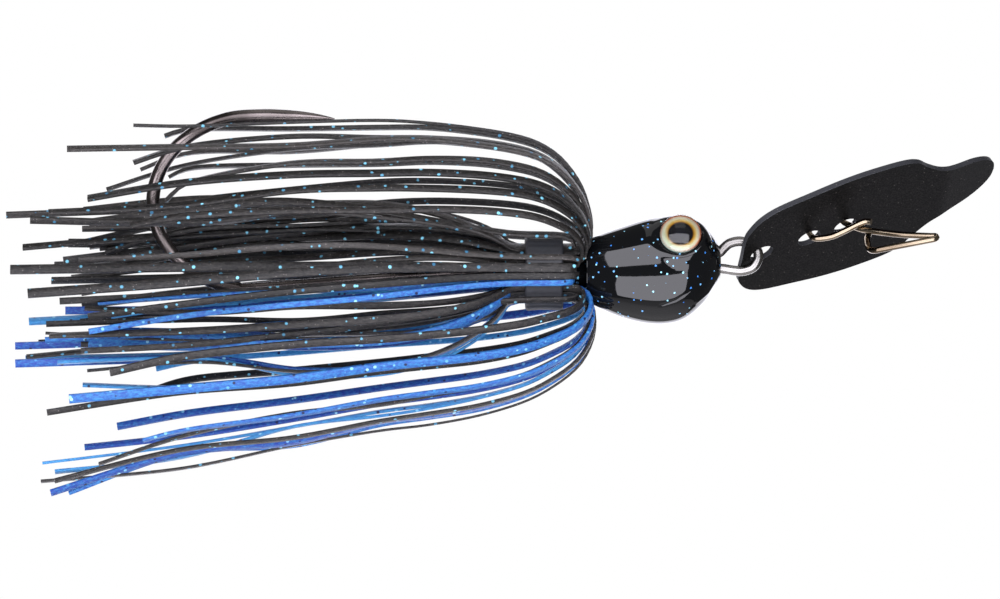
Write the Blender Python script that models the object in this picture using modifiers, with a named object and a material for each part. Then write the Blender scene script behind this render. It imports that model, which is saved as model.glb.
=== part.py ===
"""Bladed jig: a painted lead head cast on a hook, a wobbling nose blade with a line snap, and a
silicone skirt held behind the head by a rubber collar.

The nose points along +X, the hook's point up along +Z, and the lure's mid-plane is Y = 0.
The origin is the centre of the wire eye on the nose. Lengths are in metres.
"""
import math
import random

import bmesh
import bpy
from mathutils import Matrix, Vector

MM = 0.001
CAST_GAP = 0.25 * MM        # room between the lead and the wires cast into it
FIT_GAP = 0.2 * MM          # room between the eyes and their sockets

# Head: nose to rear shoulder, with a barrel behind it for the skirt
HEAD_NOSE_X = -2.3 * MM
HEAD_LENGTH = 14.9 * MM
HEAD_HEIGHT = 12.0 * MM
HEAD_WIDTH = 9.8 * MM
HEAD_CENTRE_Z = -1.5 * MM
HEAD_SQUARENESS = 2.5       # 2 is an ellipse; more is boxier
HEAD_SHOULDER_X = HEAD_NOSE_X - HEAD_LENGTH

# The head's side view, front to rear: share of the length behind the nose, share of the height
# above and below the centre line, and share of the half width.
HEAD_OUTLINE = [
    (0.000, 0.06, 0.06, 0.00),
    (0.000, 0.17, -0.06, 0.28),
    (0.045, 0.30, -0.17, 0.55),
    (0.130, 0.415, -0.32, 0.79),
    (0.260, 0.49, -0.455, 0.94),
    (0.400, 0.495, -0.505, 1.00),
    (0.560, 0.465, -0.50, 0.99),
    (0.740, 0.395, -0.445, 0.87),
    (0.900, 0.325, -0.36, 0.70),
    (0.985, 0.27, -0.29, 0.58),
    (1.000, 0.22, -0.25, 0.50),
    (1.000, -0.02, -0.02, 0.00),
]
SHAFT_Z = -1.9 * MM         # height of the hook's shank, the barrel and the collar
BARREL_RADIUS = 1.6 * MM
BARREL_LIP_RADIUS = 1.78 * MM
BARREL_LIP_LENGTH = 0.6 * MM
BARREL_ROOT = 2.5 * MM      # how far the barrel runs into the head

# Nose wire
WIRE_RADIUS = 0.57 * MM
WIRE_EYE_REACH = WIRE_RADIUS * 3.386        # the eye is bent in proportion to its wire:
WIRE_EYE_HALF_HEIGHT = WIRE_RADIUS * 2.86   # from its centre to the wire's centre line
WIRE_TAIL_GAP = 0.6 * MM            # between the wire's tail and the hook's eye it runs round

# Hook
HOOK_RADIUS = 0.75 * MM
HOOK_EYE_X = -8.5 * MM
HOOK_EYE_RADIUS = 1.6 * MM          # to the wire's centre line
HOOK_SHANK_LENGTH = 45.5 * MM       # from the hook's eye to where the bend starts
HOOK_SHANK_DROP = 1.8 * MM
HOOK_GAP = 19.3 * MM                # between the centre lines of the shank and the point arm
HOOK_BEND_DEPTH = 11.35 * MM        # how far the bend reaches behind the end of the shank
HOOK_ARM_LENGTH = 20.2 * MM         # from the back of the bend forwards to the tip
HOOK_TIP_RADIUS = 0.06 * MM
HOOK_TAPER_LENGTH = 6.0 * MM
BARB_LENGTH = 2.6 * MM
BARB_RADIUS = 0.42 * MM
BARB_RISE = 0.75 * MM

# Eyes
EYE_RADIUS = 2.3 * MM
EYE_SHARE_X = 0.30                  # along the head, from the nose
EYE_Z = 2.5 * MM
EYE_TILT = math.radians(27)         # how far the eyes look upwards
EYE_FOIL_THICKNESS = 0.2 * MM
EYE_DOME_RISE = 0.75 * MM
EYE_DOME_EDGE = 0.12 * MM           # height of the dome's upright edge
EYE_RIM_WIDTH = 0.35 * MM
EYE_SOCKET_DEPTH = 0.45 * MM

# Blade: measured from its rear edge, along its centre line
BLADE_LENGTH = 31.7 * MM
BLADE_WIDTH = 19.7 * MM
BLADE_THICKNESS = 0.6 * MM
BLADE_HOLE_RADIUS = WIRE_RADIUS * 2.4035    # loose on the wire, which crosses it aslant
BLADE_REAR_STRIP = 1.03 * MM        # metal left between the rear hole and the rear edge
BLADE_REAR_HOLE = BLADE_HOLE_RADIUS + BLADE_REAR_STRIP
BLADE_SNAP_HOLE = 8.25 * MM
BLADE_SNAP_HOLE_PITCH = 4.44 * MM
BLADE_CREASE = 25.05 * MM
BLADE_TIP_BEND = math.radians(9.4)
BLADE_PIVOT = Vector((WIRE_EYE_REACH + WIRE_RADIUS * 0.421, 0, WIRE_RADIUS * 0.877))
BLADE_YAW = math.radians(17.56)
BLADE_PITCH = math.radians(17.34)
BLADE_ROLL = math.radians(33.1)

# Half of the blade's outline, rear to tip: share of the length, share of the half width
BLADE_OUTLINE = [
    (0.000, 0.00), (0.000, 0.36), (0.012, 0.53), (0.050, 0.72), (0.114, 0.84),
    (0.237, 0.92), (0.347, 0.98), (0.457, 1.00), (0.587, 0.97), (0.650, 0.89),
    (0.697, 0.72), (0.754, 0.55), (0.820, 0.455), (0.902, 0.385), (0.959, 0.28),
    (0.991, 0.15), (1.000, 0.00),
]

# Snap: one spring wire threaded through the blade's two middle holes
SNAP_RADIUS = 0.35 * MM
SNAP_BACK_GAP = 0.15 * MM           # between the blade's back and the wire that runs behind it
SNAP_TURN_GAP = 0.1 * MM            # between turns of the wire that lie side by side
SNAP_SWING = math.radians(30)       # how far the snap leans from square to the blade

# Skirt
STRAND_COUNT = 36
STRAND_LAYERS = 3
STRAND_WIDTH = 0.95 * MM
STRAND_THICKNESS = 0.4 * MM
STRAND_GAP = 0.15 * MM              # between layers
STRAND_BARREL_GAP = 0.07 * MM       # between the barrel's lip and the innermost layer
STRAND_LAYER_PITCH = STRAND_THICKNESS + STRAND_GAP
STRAND_FIRST_RADIUS = BARREL_LIP_RADIUS + STRAND_BARREL_GAP + STRAND_THICKNESS / 2
STRAND_FOLD_GAP = 0.3 * MM          # between the head's shoulder and the first fold
STRAND_FOLD_PITCH = STRAND_THICKNESS + 0.28 * MM
STRAND_END_GAP = 1.4 * MM           # from the collar back to where the inner runs start to spread
COLLAR_LENGTH = 4.2 * MM
COLLAR_WALL = 0.6 * MM
COLLAR_EDGE = 0.2 * MM
COLLAR_GAP = 0.25 * MM              # between the outermost layer and the collar
COLLAR_INNER_RADIUS = (
    STRAND_FIRST_RADIUS + STRAND_LAYER_PITCH * (STRAND_LAYERS - 1) + STRAND_THICKNESS / 2
    + COLLAR_GAP
)
COLLAR_RADIUS = COLLAR_INNER_RADIUS + COLLAR_WALL
SKIRT_FOLD_ROOM = 2.6 * MM          # between the head's shoulder and the collar
COLLAR_FRONT_X = HEAD_SHOULDER_X - SKIRT_FOLD_ROOM
COLLAR_REAR_X = COLLAR_FRONT_X - COLLAR_LENGTH
BARREL_END_X = COLLAR_REAR_X - 1.0 * MM
SKIRT_LENGTH = 62.0 * MM            # from the head's shoulder back to the middle strand ends
SKIRT_RAGGED = 3.0 * MM             # how much the strand ends vary either way
SKIRT_SIDE_SHARE = 0.88             # the skirt's sides against its top and bottom
HOOK_SLOT = 3.0 * MM                # how far the strands part on each side of the hook
SLOT_START_X = COLLAR_REAR_X - 4.0 * MM
STRAND_SEED = 7

# The outer strands' route behind the fold, over the head's shoulder and back: distance behind
# the fold, then the radius about the collar's axis on the top and on the bottom of the skirt.
SKIRT_ROUTE = [
    (0.3, 4.3, 4.3), (-0.3, 6.6, 6.6), (0.6, 9.6, 9.5), (2.6, 12.5, 12.1), (5.4, 14.2, 14.0),
    (10.0, 15.6, 15.3), (18.5, 16.6, 16.9), (30.0, 17.0, 18.6), (43.0, 17.0, 20.6),
    (64.0, 16.4, 23.6),
]
SKIRT_NECK = 4.3                    # radius up to which every layer's loop is alike
SKIRT_SWELL = 8.0                   # added to it where a layer has its full share
SKIRT_STEADY = 43.0                 # distance behind which a strand's own length is taken up
LAYER_SPREAD = [1.0, 0.85, 0.70]    # each layer's outer run, as a share of the outermost
LAYER_CORE = [0.20, 0.38, 0.56]     # each layer's inner run at the strand ends


def clear_scene():
    for thing in list(bpy.data.objects):
        bpy.data.objects.remove(thing, do_unlink=True)


def new_collection(name):
    group = bpy.data.collections.new(name)
    bpy.context.scene.collection.children.link(group)
    return group


def new_material(name, colour, roughness, metallic=0.0, alpha=1.0):
    material = bpy.data.materials.new(name)
    material.use_nodes = True
    shader = material.node_tree.nodes["Principled BSDF"]
    shader.inputs["Base Color"].default_value = (*colour, 1.0)
    shader.inputs["Roughness"].default_value = roughness
    shader.inputs["Metallic"].default_value = metallic
    shader.inputs["Alpha"].default_value = alpha
    return material


def add_mesh_object(name, mesh, group, material=None):
    thing = bpy.data.objects.new(name, mesh)
    group.objects.link(thing)
    if material:
        mesh.materials.clear()
        mesh.materials.append(material)
    return thing


def claim_active(name, group, material=None):
    """Name the primitive that was just added and move it into its collection."""
    thing = bpy.context.object
    thing.name = name
    for owner in list(thing.users_collection):
        owner.objects.unlink(thing)
    group.objects.link(thing)
    if material:
        thing.data.materials.append(material)
    return thing


def smooth_route(points, steps):
    """Points along a Catmull-Rom curve through the given points, with any number of values each."""
    points = [Vector(point) for point in points]
    route = []
    for index in range(len(points) - 1):
        before = points[max(index - 1, 0)]
        start, end = points[index], points[index + 1]
        after = points[min(index + 2, len(points) - 1)]
        for step in range(steps):
            t = step / steps
            pull_in = (end - before) * 0.5
            pull_out = (after - start) * 0.5
            route.append(
                start * (2 * t**3 - 3 * t**2 + 1) + pull_in * (t**3 - 2 * t**2 + t)
                + end * (3 * t**2 - 2 * t**3) + pull_out * (t**3 - t**2)
            )
    route.append(points[-1])
    return route


def mesh_from_curve(name, curve, group, material=None):
    """Turn curve data into a welded mesh object."""
    source = bpy.data.objects.new(name + "_curve", curve)
    group.objects.link(source)
    bpy.context.view_layer.update()
    evaluated = source.evaluated_get(bpy.context.evaluated_depsgraph_get())
    mesh = bpy.data.meshes.new_from_object(evaluated)
    mesh.name = name
    bpy.data.objects.remove(source, do_unlink=True)
    bpy.data.curves.remove(curve)
    work = bmesh.new()
    work.from_mesh(mesh)
    bmesh.ops.remove_doubles(work, verts=work.verts, dist=0.00001)
    bmesh.ops.recalc_face_normals(work, faces=work.faces)
    work.to_mesh(mesh)
    work.free()
    return add_mesh_object(name, mesh, group, material)


def tube(name, route, radius, group, material=None, shares=None, resolution=2):
    """A round wire along a route; shares thins it point by point."""
    curve = bpy.data.curves.new(name, "CURVE")
    curve.dimensions = "3D"
    curve.bevel_depth = radius
    curve.bevel_resolution = resolution
    curve.use_fill_caps = True
    spline = curve.splines.new("POLY")
    spline.points.add(len(route) - 1)
    for index, place in enumerate(route):
        spline.points[index].co = (*place, 1.0)
        spline.points[index].radius = shares[index] if shares else 1.0
    thing = mesh_from_curve(name, curve, group, material)
    thing.data.shade_smooth()
    thing.data.set_sharp_from_angle(angle=math.radians(50))
    return thing


def boolean(target, cutter, operation):
    modifier = target.modifiers.new(cutter.name, "BOOLEAN")
    modifier.operation = operation
    modifier.object = cutter
    cutter.hide_render = True
    cutter.display_type = "WIRE"


HEAD_STEPS = 6
HEAD_STATIONS = [
    (
        HEAD_NOSE_X - HEAD_LENGTH * along,
        HEAD_CENTRE_Z + HEAD_HEIGHT * above,
        HEAD_CENTRE_Z + HEAD_HEIGHT * below,
        HEAD_WIDTH / 2 * wide,
    )
    for along, above, below, wide in HEAD_OUTLINE
]


def head_station(share):
    """Front-to-rear station of the head: X, top Z, bottom Z and half width."""
    stations = smooth_route(HEAD_STATIONS, HEAD_STEPS)
    place = share * (len(stations) - 1)
    low = min(int(place), len(stations) - 2)
    return stations[low].lerp(stations[low + 1], place - low)


def head_surface_y(x, z):
    """Half width of the head's skin at a place on its side."""
    stations = smooth_route(HEAD_STATIONS, HEAD_STEPS)
    station = min(stations, key=lambda entry: abs(entry[0] - x))
    middle = (station[1] + station[2]) / 2
    half_height = (station[1] - station[2]) / 2
    height_share = min(abs(z - middle) / half_height, 1.0)
    return station[3] * (1 - height_share**HEAD_SQUARENESS) ** (1 / HEAD_SQUARENESS)


def squared(value):
    """Sine or cosine for a section that is boxier than an ellipse."""
    return math.copysign(abs(value) ** (2 / HEAD_SQUARENESS), value)


def make_head_blank(group, material):
    rings = len(HEAD_STATIONS) * 2
    sides = 32
    bpy.ops.mesh.primitive_uv_sphere_add(segments=sides, ring_count=rings, radius=1.0)
    head = claim_active("lead_head", group, material)
    for vertex in head.data.vertices:
        polar = math.acos(max(-1.0, min(1.0, vertex.co.z)))
        turn = math.atan2(vertex.co.y, vertex.co.x)
        x, top, bottom, half_width = head_station(1 - polar / math.pi)
        middle = (top + bottom) / 2
        half_height = (top - bottom) / 2
        vertex.co = (
            x,
            half_width * squared(math.cos(turn)),
            middle + half_height * squared(math.sin(turn)),
        )
    work = bmesh.new()
    work.from_mesh(head.data)
    bmesh.ops.recalc_face_normals(work, faces=work.faces)
    work.to_mesh(head.data)
    work.free()
    return head


def turned(name, profile, group, material=None, steps=32):
    """A solid or ring turned about Z; the profile is (height, radius) points in order."""
    mesh = bpy.data.meshes.new(name)
    edges = [(index, index + 1) for index in range(len(profile) - 1)]
    if profile[0][1] > 0:
        edges.append((len(profile) - 1, 0))
    mesh.from_pydata([(radius, 0, height) for height, radius in profile], edges, [])
    thing = add_mesh_object(name, mesh, group, material)
    screw = thing.modifiers.new("turn", "SCREW")
    screw.steps = steps
    screw.render_steps = steps
    screw.use_merge_vertices = True
    screw.merge_threshold = 0.00001
    screw.use_normal_calculate = True
    return thing


def turned_x(name, profile, centre_z, group, material=None):
    """A solid or ring turned about a line along X; the profile is (x, radius) points in order."""
    thing = turned(name, [(-x, radius) for x, radius in profile], group, material)
    thing.rotation_euler = (0, math.radians(-90), 0)
    thing.location = (0, 0, centre_z)
    return thing


def hook_route():
    """Centre line of the hook in the mid-plane, from its eye to its point."""
    shank_end = HOOK_EYE_X - HOOK_SHANK_LENGTH
    low = SHAFT_Z - HOOK_SHANK_DROP
    middle = low + HOOK_GAP / 2
    eye = []
    for step in range(13):
        turn = math.radians(130 - step * 26.5)
        across, up = HOOK_EYE_RADIUS * math.cos(turn), HOOK_EYE_RADIUS * math.sin(turn)
        eye.append((HOOK_EYE_X + across, 0, SHAFT_Z + up))
    shank = smooth_route(
        [
            (HOOK_EYE_X - HOOK_EYE_RADIUS - 1.2 * MM, 0, SHAFT_Z),
            (BARREL_END_X - 1.0 * MM, 0, SHAFT_Z),
            (shank_end, 0, low),
        ],
        4,
    )
    bend = []
    for step in range(1, 18):
        turn = math.radians(270 - step * 10)
        across, up = HOOK_BEND_DEPTH * math.cos(turn), HOOK_GAP / 2 * math.sin(turn)
        bend.append((shank_end + across, 0, middle + up))
    tip_x = shank_end - HOOK_BEND_DEPTH + HOOK_ARM_LENGTH
    arm = [
        (shank_end + 1.0 * MM, 0, middle + HOOK_GAP / 2),
        (tip_x - HOOK_TAPER_LENGTH, 0, middle + HOOK_GAP / 2 - 0.05 * MM),
        (tip_x - HOOK_TAPER_LENGTH * 0.45, 0, middle + HOOK_GAP / 2 - 0.15 * MM),
        (tip_x, 0, middle + HOOK_GAP / 2 - 0.35 * MM),
    ]
    return [Vector(place) for place in eye + [tuple(place) for place in shank] + bend + arm]


def hook_shares(route):
    """The hook's wire keeps its size up to the taper and then thins to the point."""
    tip = route[-1]
    shares = []
    for index, place in enumerate(route):
        if index < len(route) - 3:
            shares.append(1.0)
        else:
            left = min((tip - place).length / HOOK_TAPER_LENGTH, 1.0)
            shares.append(max(left**0.8, HOOK_TIP_RADIUS / HOOK_RADIUS))
    return shares


def make_hook(parts, cutters, material):
    route = hook_route()
    hook = tube("jig_hook", route, HOOK_RADIUS, parts, material, hook_shares(route), 3)
    root = route[-3] - Vector((HOOK_TAPER_LENGTH * 0.1, 0, HOOK_RADIUS * 0.35))
    bpy.ops.mesh.primitive_cone_add(vertices=10, radius1=BARB_RADIUS, radius2=0.04 * MM, depth=BARB_LENGTH)
    barb = claim_active("barb_blank", cutters)
    slope = math.atan2(BARB_RISE, BARB_LENGTH)
    heading = Vector((-math.cos(slope), 0, -math.sin(slope)))
    barb.rotation_euler = heading.to_track_quat("Z", "Y").to_euler()
    barb.location = root + heading * BARB_LENGTH / 2
    boolean(hook, barb, "UNION")
    return hook


def nose_wire_route():
    """Centre line of the nose wire: through the hook's eye, out, round its own eye and back in."""
    reach, rise = WIRE_EYE_REACH, WIRE_EYE_HALF_HEIGHT
    nose = HEAD_NOSE_X
    swerve = HOOK_RADIUS + WIRE_RADIUS + WIRE_TAIL_GAP
    hook_front = HOOK_EYE_X + HOOK_EYE_RADIUS + HOOK_RADIUS
    tail = [
        (HOOK_EYE_X, swerve, SHAFT_Z),
        (HOOK_EYE_X, 0, SHAFT_Z),
        (HOOK_EYE_X + 0.1 * MM, -swerve * 0.72, SHAFT_Z),
        (HOOK_EYE_X + 1.1 * MM, -swerve * 1.08, SHAFT_Z),
        (hook_front, -swerve * 0.9, SHAFT_Z + 0.1 * MM),
        (nose - 1.6 * MM, -swerve * 0.25, -rise + 0.15 * MM),
    ]
    eye = [
        (nose, 0, -rise + 0.25 * MM),
        (-0.9 * MM, 0, -rise + 0.05 * MM),
        (0.2 * MM, 0, -rise),
        (reach * 0.72, 0, -rise * 0.72),
        (reach, 0, 0),
        (reach * 0.74, 0, rise * 0.7),
        (0, 0, rise),
        (-1.2 * MM, 0, rise * 0.88),
        (nose + 0.45 * MM, 0, rise * 0.58),
        (nose - 0.2 * MM, 0, rise * 0.2),
    ]
    end = [
        (nose - 1.5 * MM, 0, 0),
        (nose - 3.2 * MM, 0, rise * 0.35),
        (nose - 4.2 * MM, 0, rise * 0.85),
    ]
    return smooth_route(tail + eye + end, 2)


def lengthened(leg, start, end):
    """The leg with its first or last point moved on, straight ahead, by these lengths."""
    leg = list(leg)
    leg[0] = leg[0] + (leg[0] - leg[1]).normalized() * start
    leg[-1] = leg[-1] + (leg[-1] - leg[-2]).normalized() * end
    return leg


def eye_frame(side):
    """Centre of an eye's base and the rotation that turns +Z to face out of the head."""
    x = HEAD_NOSE_X - HEAD_LENGTH * EYE_SHARE_X
    out = Vector((0, side * math.cos(EYE_TILT), math.sin(EYE_TILT)))
    base = Vector((x, side * head_surface_y(x, EYE_Z), EYE_Z)) - out * EYE_SOCKET_DEPTH
    return base, out


def disc(name, base, out, radius, depth, group, material=None, sides=24):
    """A cylinder that stands on its base and rises along out."""
    bpy.ops.mesh.primitive_cylinder_add(vertices=sides, radius=radius, depth=depth)
    thing = claim_active(name, group, material)
    thing.rotation_euler = out.to_track_quat("Z", "Y").to_euler()
    thing.location = base + out * depth / 2
    return thing


def make_eyes(parts, foil_material, resin_material):
    for side, word in ((1, "left"), (-1, "right")):
        base, out = eye_frame(side)
        foil_base = base + out * FIT_GAP
        disc(f"eye_foil_{word}", foil_base, out, EYE_RADIUS, EYE_FOIL_THICKNESS, parts, foil_material)
        dome_base = foil_base + out * (EYE_FOIL_THICKNESS + FIT_GAP)
        profile = [(0.0, 0.0), (0.0, EYE_RADIUS), (EYE_DOME_EDGE, EYE_RADIUS)]
        steps = 4
        for step in range(1, steps + 1):
            turn = math.radians(90 * step / steps)
            height = EYE_DOME_EDGE + (EYE_DOME_RISE - EYE_DOME_EDGE) * math.sin(turn)
            profile.append((height, EYE_RADIUS * math.cos(turn) ** 1.2 if step < steps else 0.0))
        dome = turned(f"eye_dome_{word}", profile, parts, resin_material, 24)
        dome.rotation_euler = out.to_track_quat("Z", "Y").to_euler()
        dome.location = dome_base


def make_head(parts, cutters, material, wire_route):
    head = make_head_blank(parts, material)
    lip = BARREL_LIP_LENGTH
    barrel = turned_x(
        "barrel_blank",
        [
            (BARREL_END_X, 0.0),
            (BARREL_END_X, BARREL_LIP_RADIUS),
            (BARREL_END_X + lip * 0.6, BARREL_LIP_RADIUS),
            (BARREL_END_X + lip, BARREL_RADIUS),
            (HEAD_SHOULDER_X + BARREL_ROOT, BARREL_RADIUS),
            (HEAD_SHOULDER_X + BARREL_ROOT, 0.0),
        ],
        SHAFT_Z, cutters,
    )
    boolean(head, barrel, "UNION")
    for side, word in ((1, "left"), (-1, "right")):
        base, out = eye_frame(side)
        rim = disc(f"eye_rim_blank_{word}", base - out * 2.0 * MM, out,
                   EYE_RADIUS + FIT_GAP + EYE_RIM_WIDTH, 2.0 * MM + EYE_SOCKET_DEPTH * 0.75, cutters)
        boolean(head, rim, "UNION")
        socket = disc(f"eye_socket_{word}", base, out, EYE_RADIUS + FIT_GAP, 4.0 * MM, cutters)
        boolean(head, socket, "DIFFERENCE")
    bore = HOOK_RADIUS + CAST_GAP
    bpy.ops.mesh.primitive_torus_add(
        major_radius=HOOK_EYE_RADIUS, minor_radius=bore, major_segments=20, minor_segments=10,
        location=(HOOK_EYE_X, 0, SHAFT_Z), rotation=(math.radians(90), 0, 0),
    )
    boolean(head, claim_active("hook_eye_room", cutters), "DIFFERENCE")
    shank_room = [
        Vector((HOOK_EYE_X - HOOK_EYE_RADIUS, 0, SHAFT_Z)),
        Vector((BARREL_END_X - 0.9 * MM, 0, SHAFT_Z)),
    ]
    boolean(head, tube("hook_shank_room", shank_room, bore, cutters, resolution=3), "DIFFERENCE")
    front = max(range(len(wire_route)), key=lambda index: wire_route[index].x)
    legs = {
        "lower": lengthened(wire_route[:front - 4], CAST_GAP, 0),
        "upper": lengthened(wire_route[front + 5:], 0, CAST_GAP),
    }
    for word, leg in legs.items():
        room = tube(f"nose_wire_room_{word}", leg, WIRE_RADIUS + CAST_GAP, cutters)
        boolean(head, room, "DIFFERENCE")
    return head


def make_collar(parts, material):
    inner = COLLAR_INNER_RADIUS
    front, rear, edge = COLLAR_FRONT_X, COLLAR_REAR_X, COLLAR_EDGE
    profile = [
        (front, inner), (front, COLLAR_RADIUS - edge), (front - edge, COLLAR_RADIUS),
        (rear + edge, COLLAR_RADIUS), (rear, COLLAR_RADIUS - edge), (rear, inner),
    ]
    return turned_x("skirt_collar", profile, SHAFT_Z, parts, material)


def strand_profile(layer, angle, rear_x):
    """A strand's route in its own half plane, as (x, radius): inner end, collar, fold, outer end."""
    collar_radius = STRAND_FIRST_RADIUS + STRAND_LAYER_PITCH * layer
    fold_x = HEAD_SHOULDER_X - STRAND_FOLD_GAP - STRAND_THICKNESS / 2 - STRAND_FOLD_PITCH * layer
    upward = (1 + math.sin(angle)) / 2
    side = 1 - (1 - SKIRT_SIDE_SHARE) * math.cos(angle) ** 2
    outer = []
    for behind, top, bottom in SKIRT_ROUTE:
        radius = (top * upward + bottom * (1 - upward)) * MM
        swell = min(max((radius / MM - SKIRT_NECK) / SKIRT_SWELL, 0.0), 1.0)
        radius *= 1 + (side * LAYER_SPREAD[layer] - 1) * swell
        stretch = (HEAD_SHOULDER_X - rear_x) / (SKIRT_ROUTE[-1][0] * MM)
        taken_up = min(max(behind / SKIRT_STEADY, 0.0), 1.0)
        x = fold_x + STRAND_FOLD_GAP - behind * MM * (1 + (stretch - 1) * taken_up)
        outer.append((x, radius))
    end_x, end_radius = outer[-1]
    core_end = end_radius / LAYER_SPREAD[layer] * LAYER_CORE[layer]
    start_x = COLLAR_REAR_X - STRAND_END_GAP
    inner = [
        (end_x + SKIRT_RAGGED, core_end),
        (start_x + (end_x - start_x) * 0.6, collar_radius + (core_end - collar_radius) * 0.66),
        (start_x + (end_x - start_x) * 0.28, collar_radius + (core_end - collar_radius) * 0.33),
        (start_x + (end_x - start_x) * 0.1, collar_radius + (core_end - collar_radius) * 0.1),
    ]
    under = [
        (start_x, collar_radius), (COLLAR_FRONT_X, collar_radius),
        (fold_x - 0.35 * MM, collar_radius + 0.12 * MM), (fold_x, collar_radius + 0.62 * MM),
    ]
    return inner + under + outer


def part_round_hook(place):
    """Move a point of the skirt sideways, so that the strands leave the hook free."""
    bend_x = HOOK_EYE_X - HOOK_SHANK_LENGTH
    along = min(max((SLOT_START_X - place.x) / (SLOT_START_X - bend_x), 0.0), 1.0)
    above = min(max((place.z - SHAFT_Z + 6.0 * MM) / (4.0 * MM), 0.0), 1.0)
    shift = HOOK_SLOT * math.sin(along * math.pi / 2) * above * math.exp(-abs(place.y) / (14.0 * MM))
    return Vector((place.x, place.y + math.copysign(shift, place.y), place.z))


def make_strand(number, parts, black, blue):
    """One silicone strand: a flat strip folded back over the head's shoulder, held by its middle."""
    chance = random.Random(STRAND_SEED + number)
    layer = number % STRAND_LAYERS
    angle = math.tau * (number + 0.5) / STRAND_COUNT
    low = math.sin(angle) < -0.25
    rear_x = HEAD_SHOULDER_X - SKIRT_LENGTH - chance.uniform(-SKIRT_RAGGED, SKIRT_RAGGED)
    name = f"skirt_strand_{number + 1:02d}"
    curve = bpy.data.curves.new(name, "CURVE")
    curve.dimensions = "2D"
    curve.fill_mode = "NONE"
    curve.extrude = STRAND_WIDTH / 2
    route = strand_profile(layer, angle, rear_x)
    spline = curve.splines.new("POLY")
    spline.points.add(len(route) - 1)
    for index, (x, radius) in enumerate(route):
        spline.points[index].co = (x, radius, 0, 1)
    strand = mesh_from_curve(name, curve, parts, blue if low and number % 2 else black)
    turn = Matrix.Rotation(angle, 4, "X")
    drop = Vector((0, 0, SHAFT_Z))
    for vertex in strand.data.vertices:
        centre = turn @ Vector((vertex.co.x, vertex.co.y, 0)) + drop
        shift = part_round_hook(centre) - centre
        vertex.co = turn @ vertex.co + drop + shift
    wall = strand.modifiers.new("thickness", "SOLIDIFY")
    wall.thickness = STRAND_THICKNESS
    wall.offset = 0
    wall.use_even_offset = True
    return strand


def blade_outline():
    half = smooth_route([(along * BLADE_LENGTH, wide * BLADE_WIDTH / 2) for along, wide in BLADE_OUTLINE], 2)
    other = [Vector((place.x, -place.y)) for place in reversed(half[1:-1])]
    return half + other


def make_blade(parts, material):
    """The blade, flat first and then creased, hung from a pivot in its rear hole."""
    pivot = bpy.data.objects.new("blade_pivot", None)
    parts.objects.link(pivot)
    pivot.location = BLADE_PIVOT
    pivot.rotation_euler = (-BLADE_ROLL, -BLADE_PITCH, BLADE_YAW)

    curve = bpy.data.curves.new("blade", "CURVE")
    curve.dimensions = "2D"
    curve.fill_mode = "BOTH"
    curve.extrude = BLADE_THICKNESS / 2
    outline = curve.splines.new("POLY")
    outline.use_cyclic_u = True
    points = blade_outline()
    outline.points.add(len(points) - 1)
    for index, place in enumerate(points):
        outline.points[index].co = (place.x - BLADE_REAR_HOLE, place.y, 0, 1)
    sides = 20
    for hole_x in (BLADE_REAR_HOLE, BLADE_SNAP_HOLE, BLADE_SNAP_HOLE + BLADE_SNAP_HOLE_PITCH):
        rim = curve.splines.new("POLY")
        rim.use_cyclic_u = True
        rim.points.add(sides - 1)
        for index in range(sides):
            turn = math.tau * index / sides
            x = hole_x - BLADE_REAR_HOLE + BLADE_HOLE_RADIUS * math.cos(turn)
            rim.points[index].co = (x, BLADE_HOLE_RADIUS * math.sin(turn), 0, 1)
    blade = mesh_from_curve("blade", curve, parts, material)

    crease_x = BLADE_CREASE - BLADE_REAR_HOLE
    work = bmesh.new()
    work.from_mesh(blade.data)
    everything = work.verts[:] + work.edges[:] + work.faces[:]
    bmesh.ops.bisect_plane(work, geom=everything, dist=0.00001, plane_co=(crease_x, 0, 0), plane_no=(1, 0, 0))
    tip = [vertex for vertex in work.verts if vertex.co.x > crease_x + 0.00001]
    bmesh.ops.rotate(work, verts=tip, cent=(crease_x, 0, 0), matrix=Matrix.Rotation(-BLADE_TIP_BEND, 3, "Y"))
    bmesh.ops.triangulate(work, faces=[face for face in work.faces if len(face.verts) > 4])
    work.to_mesh(blade.data)
    work.free()
    blade.parent = pivot
    return pivot


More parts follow.
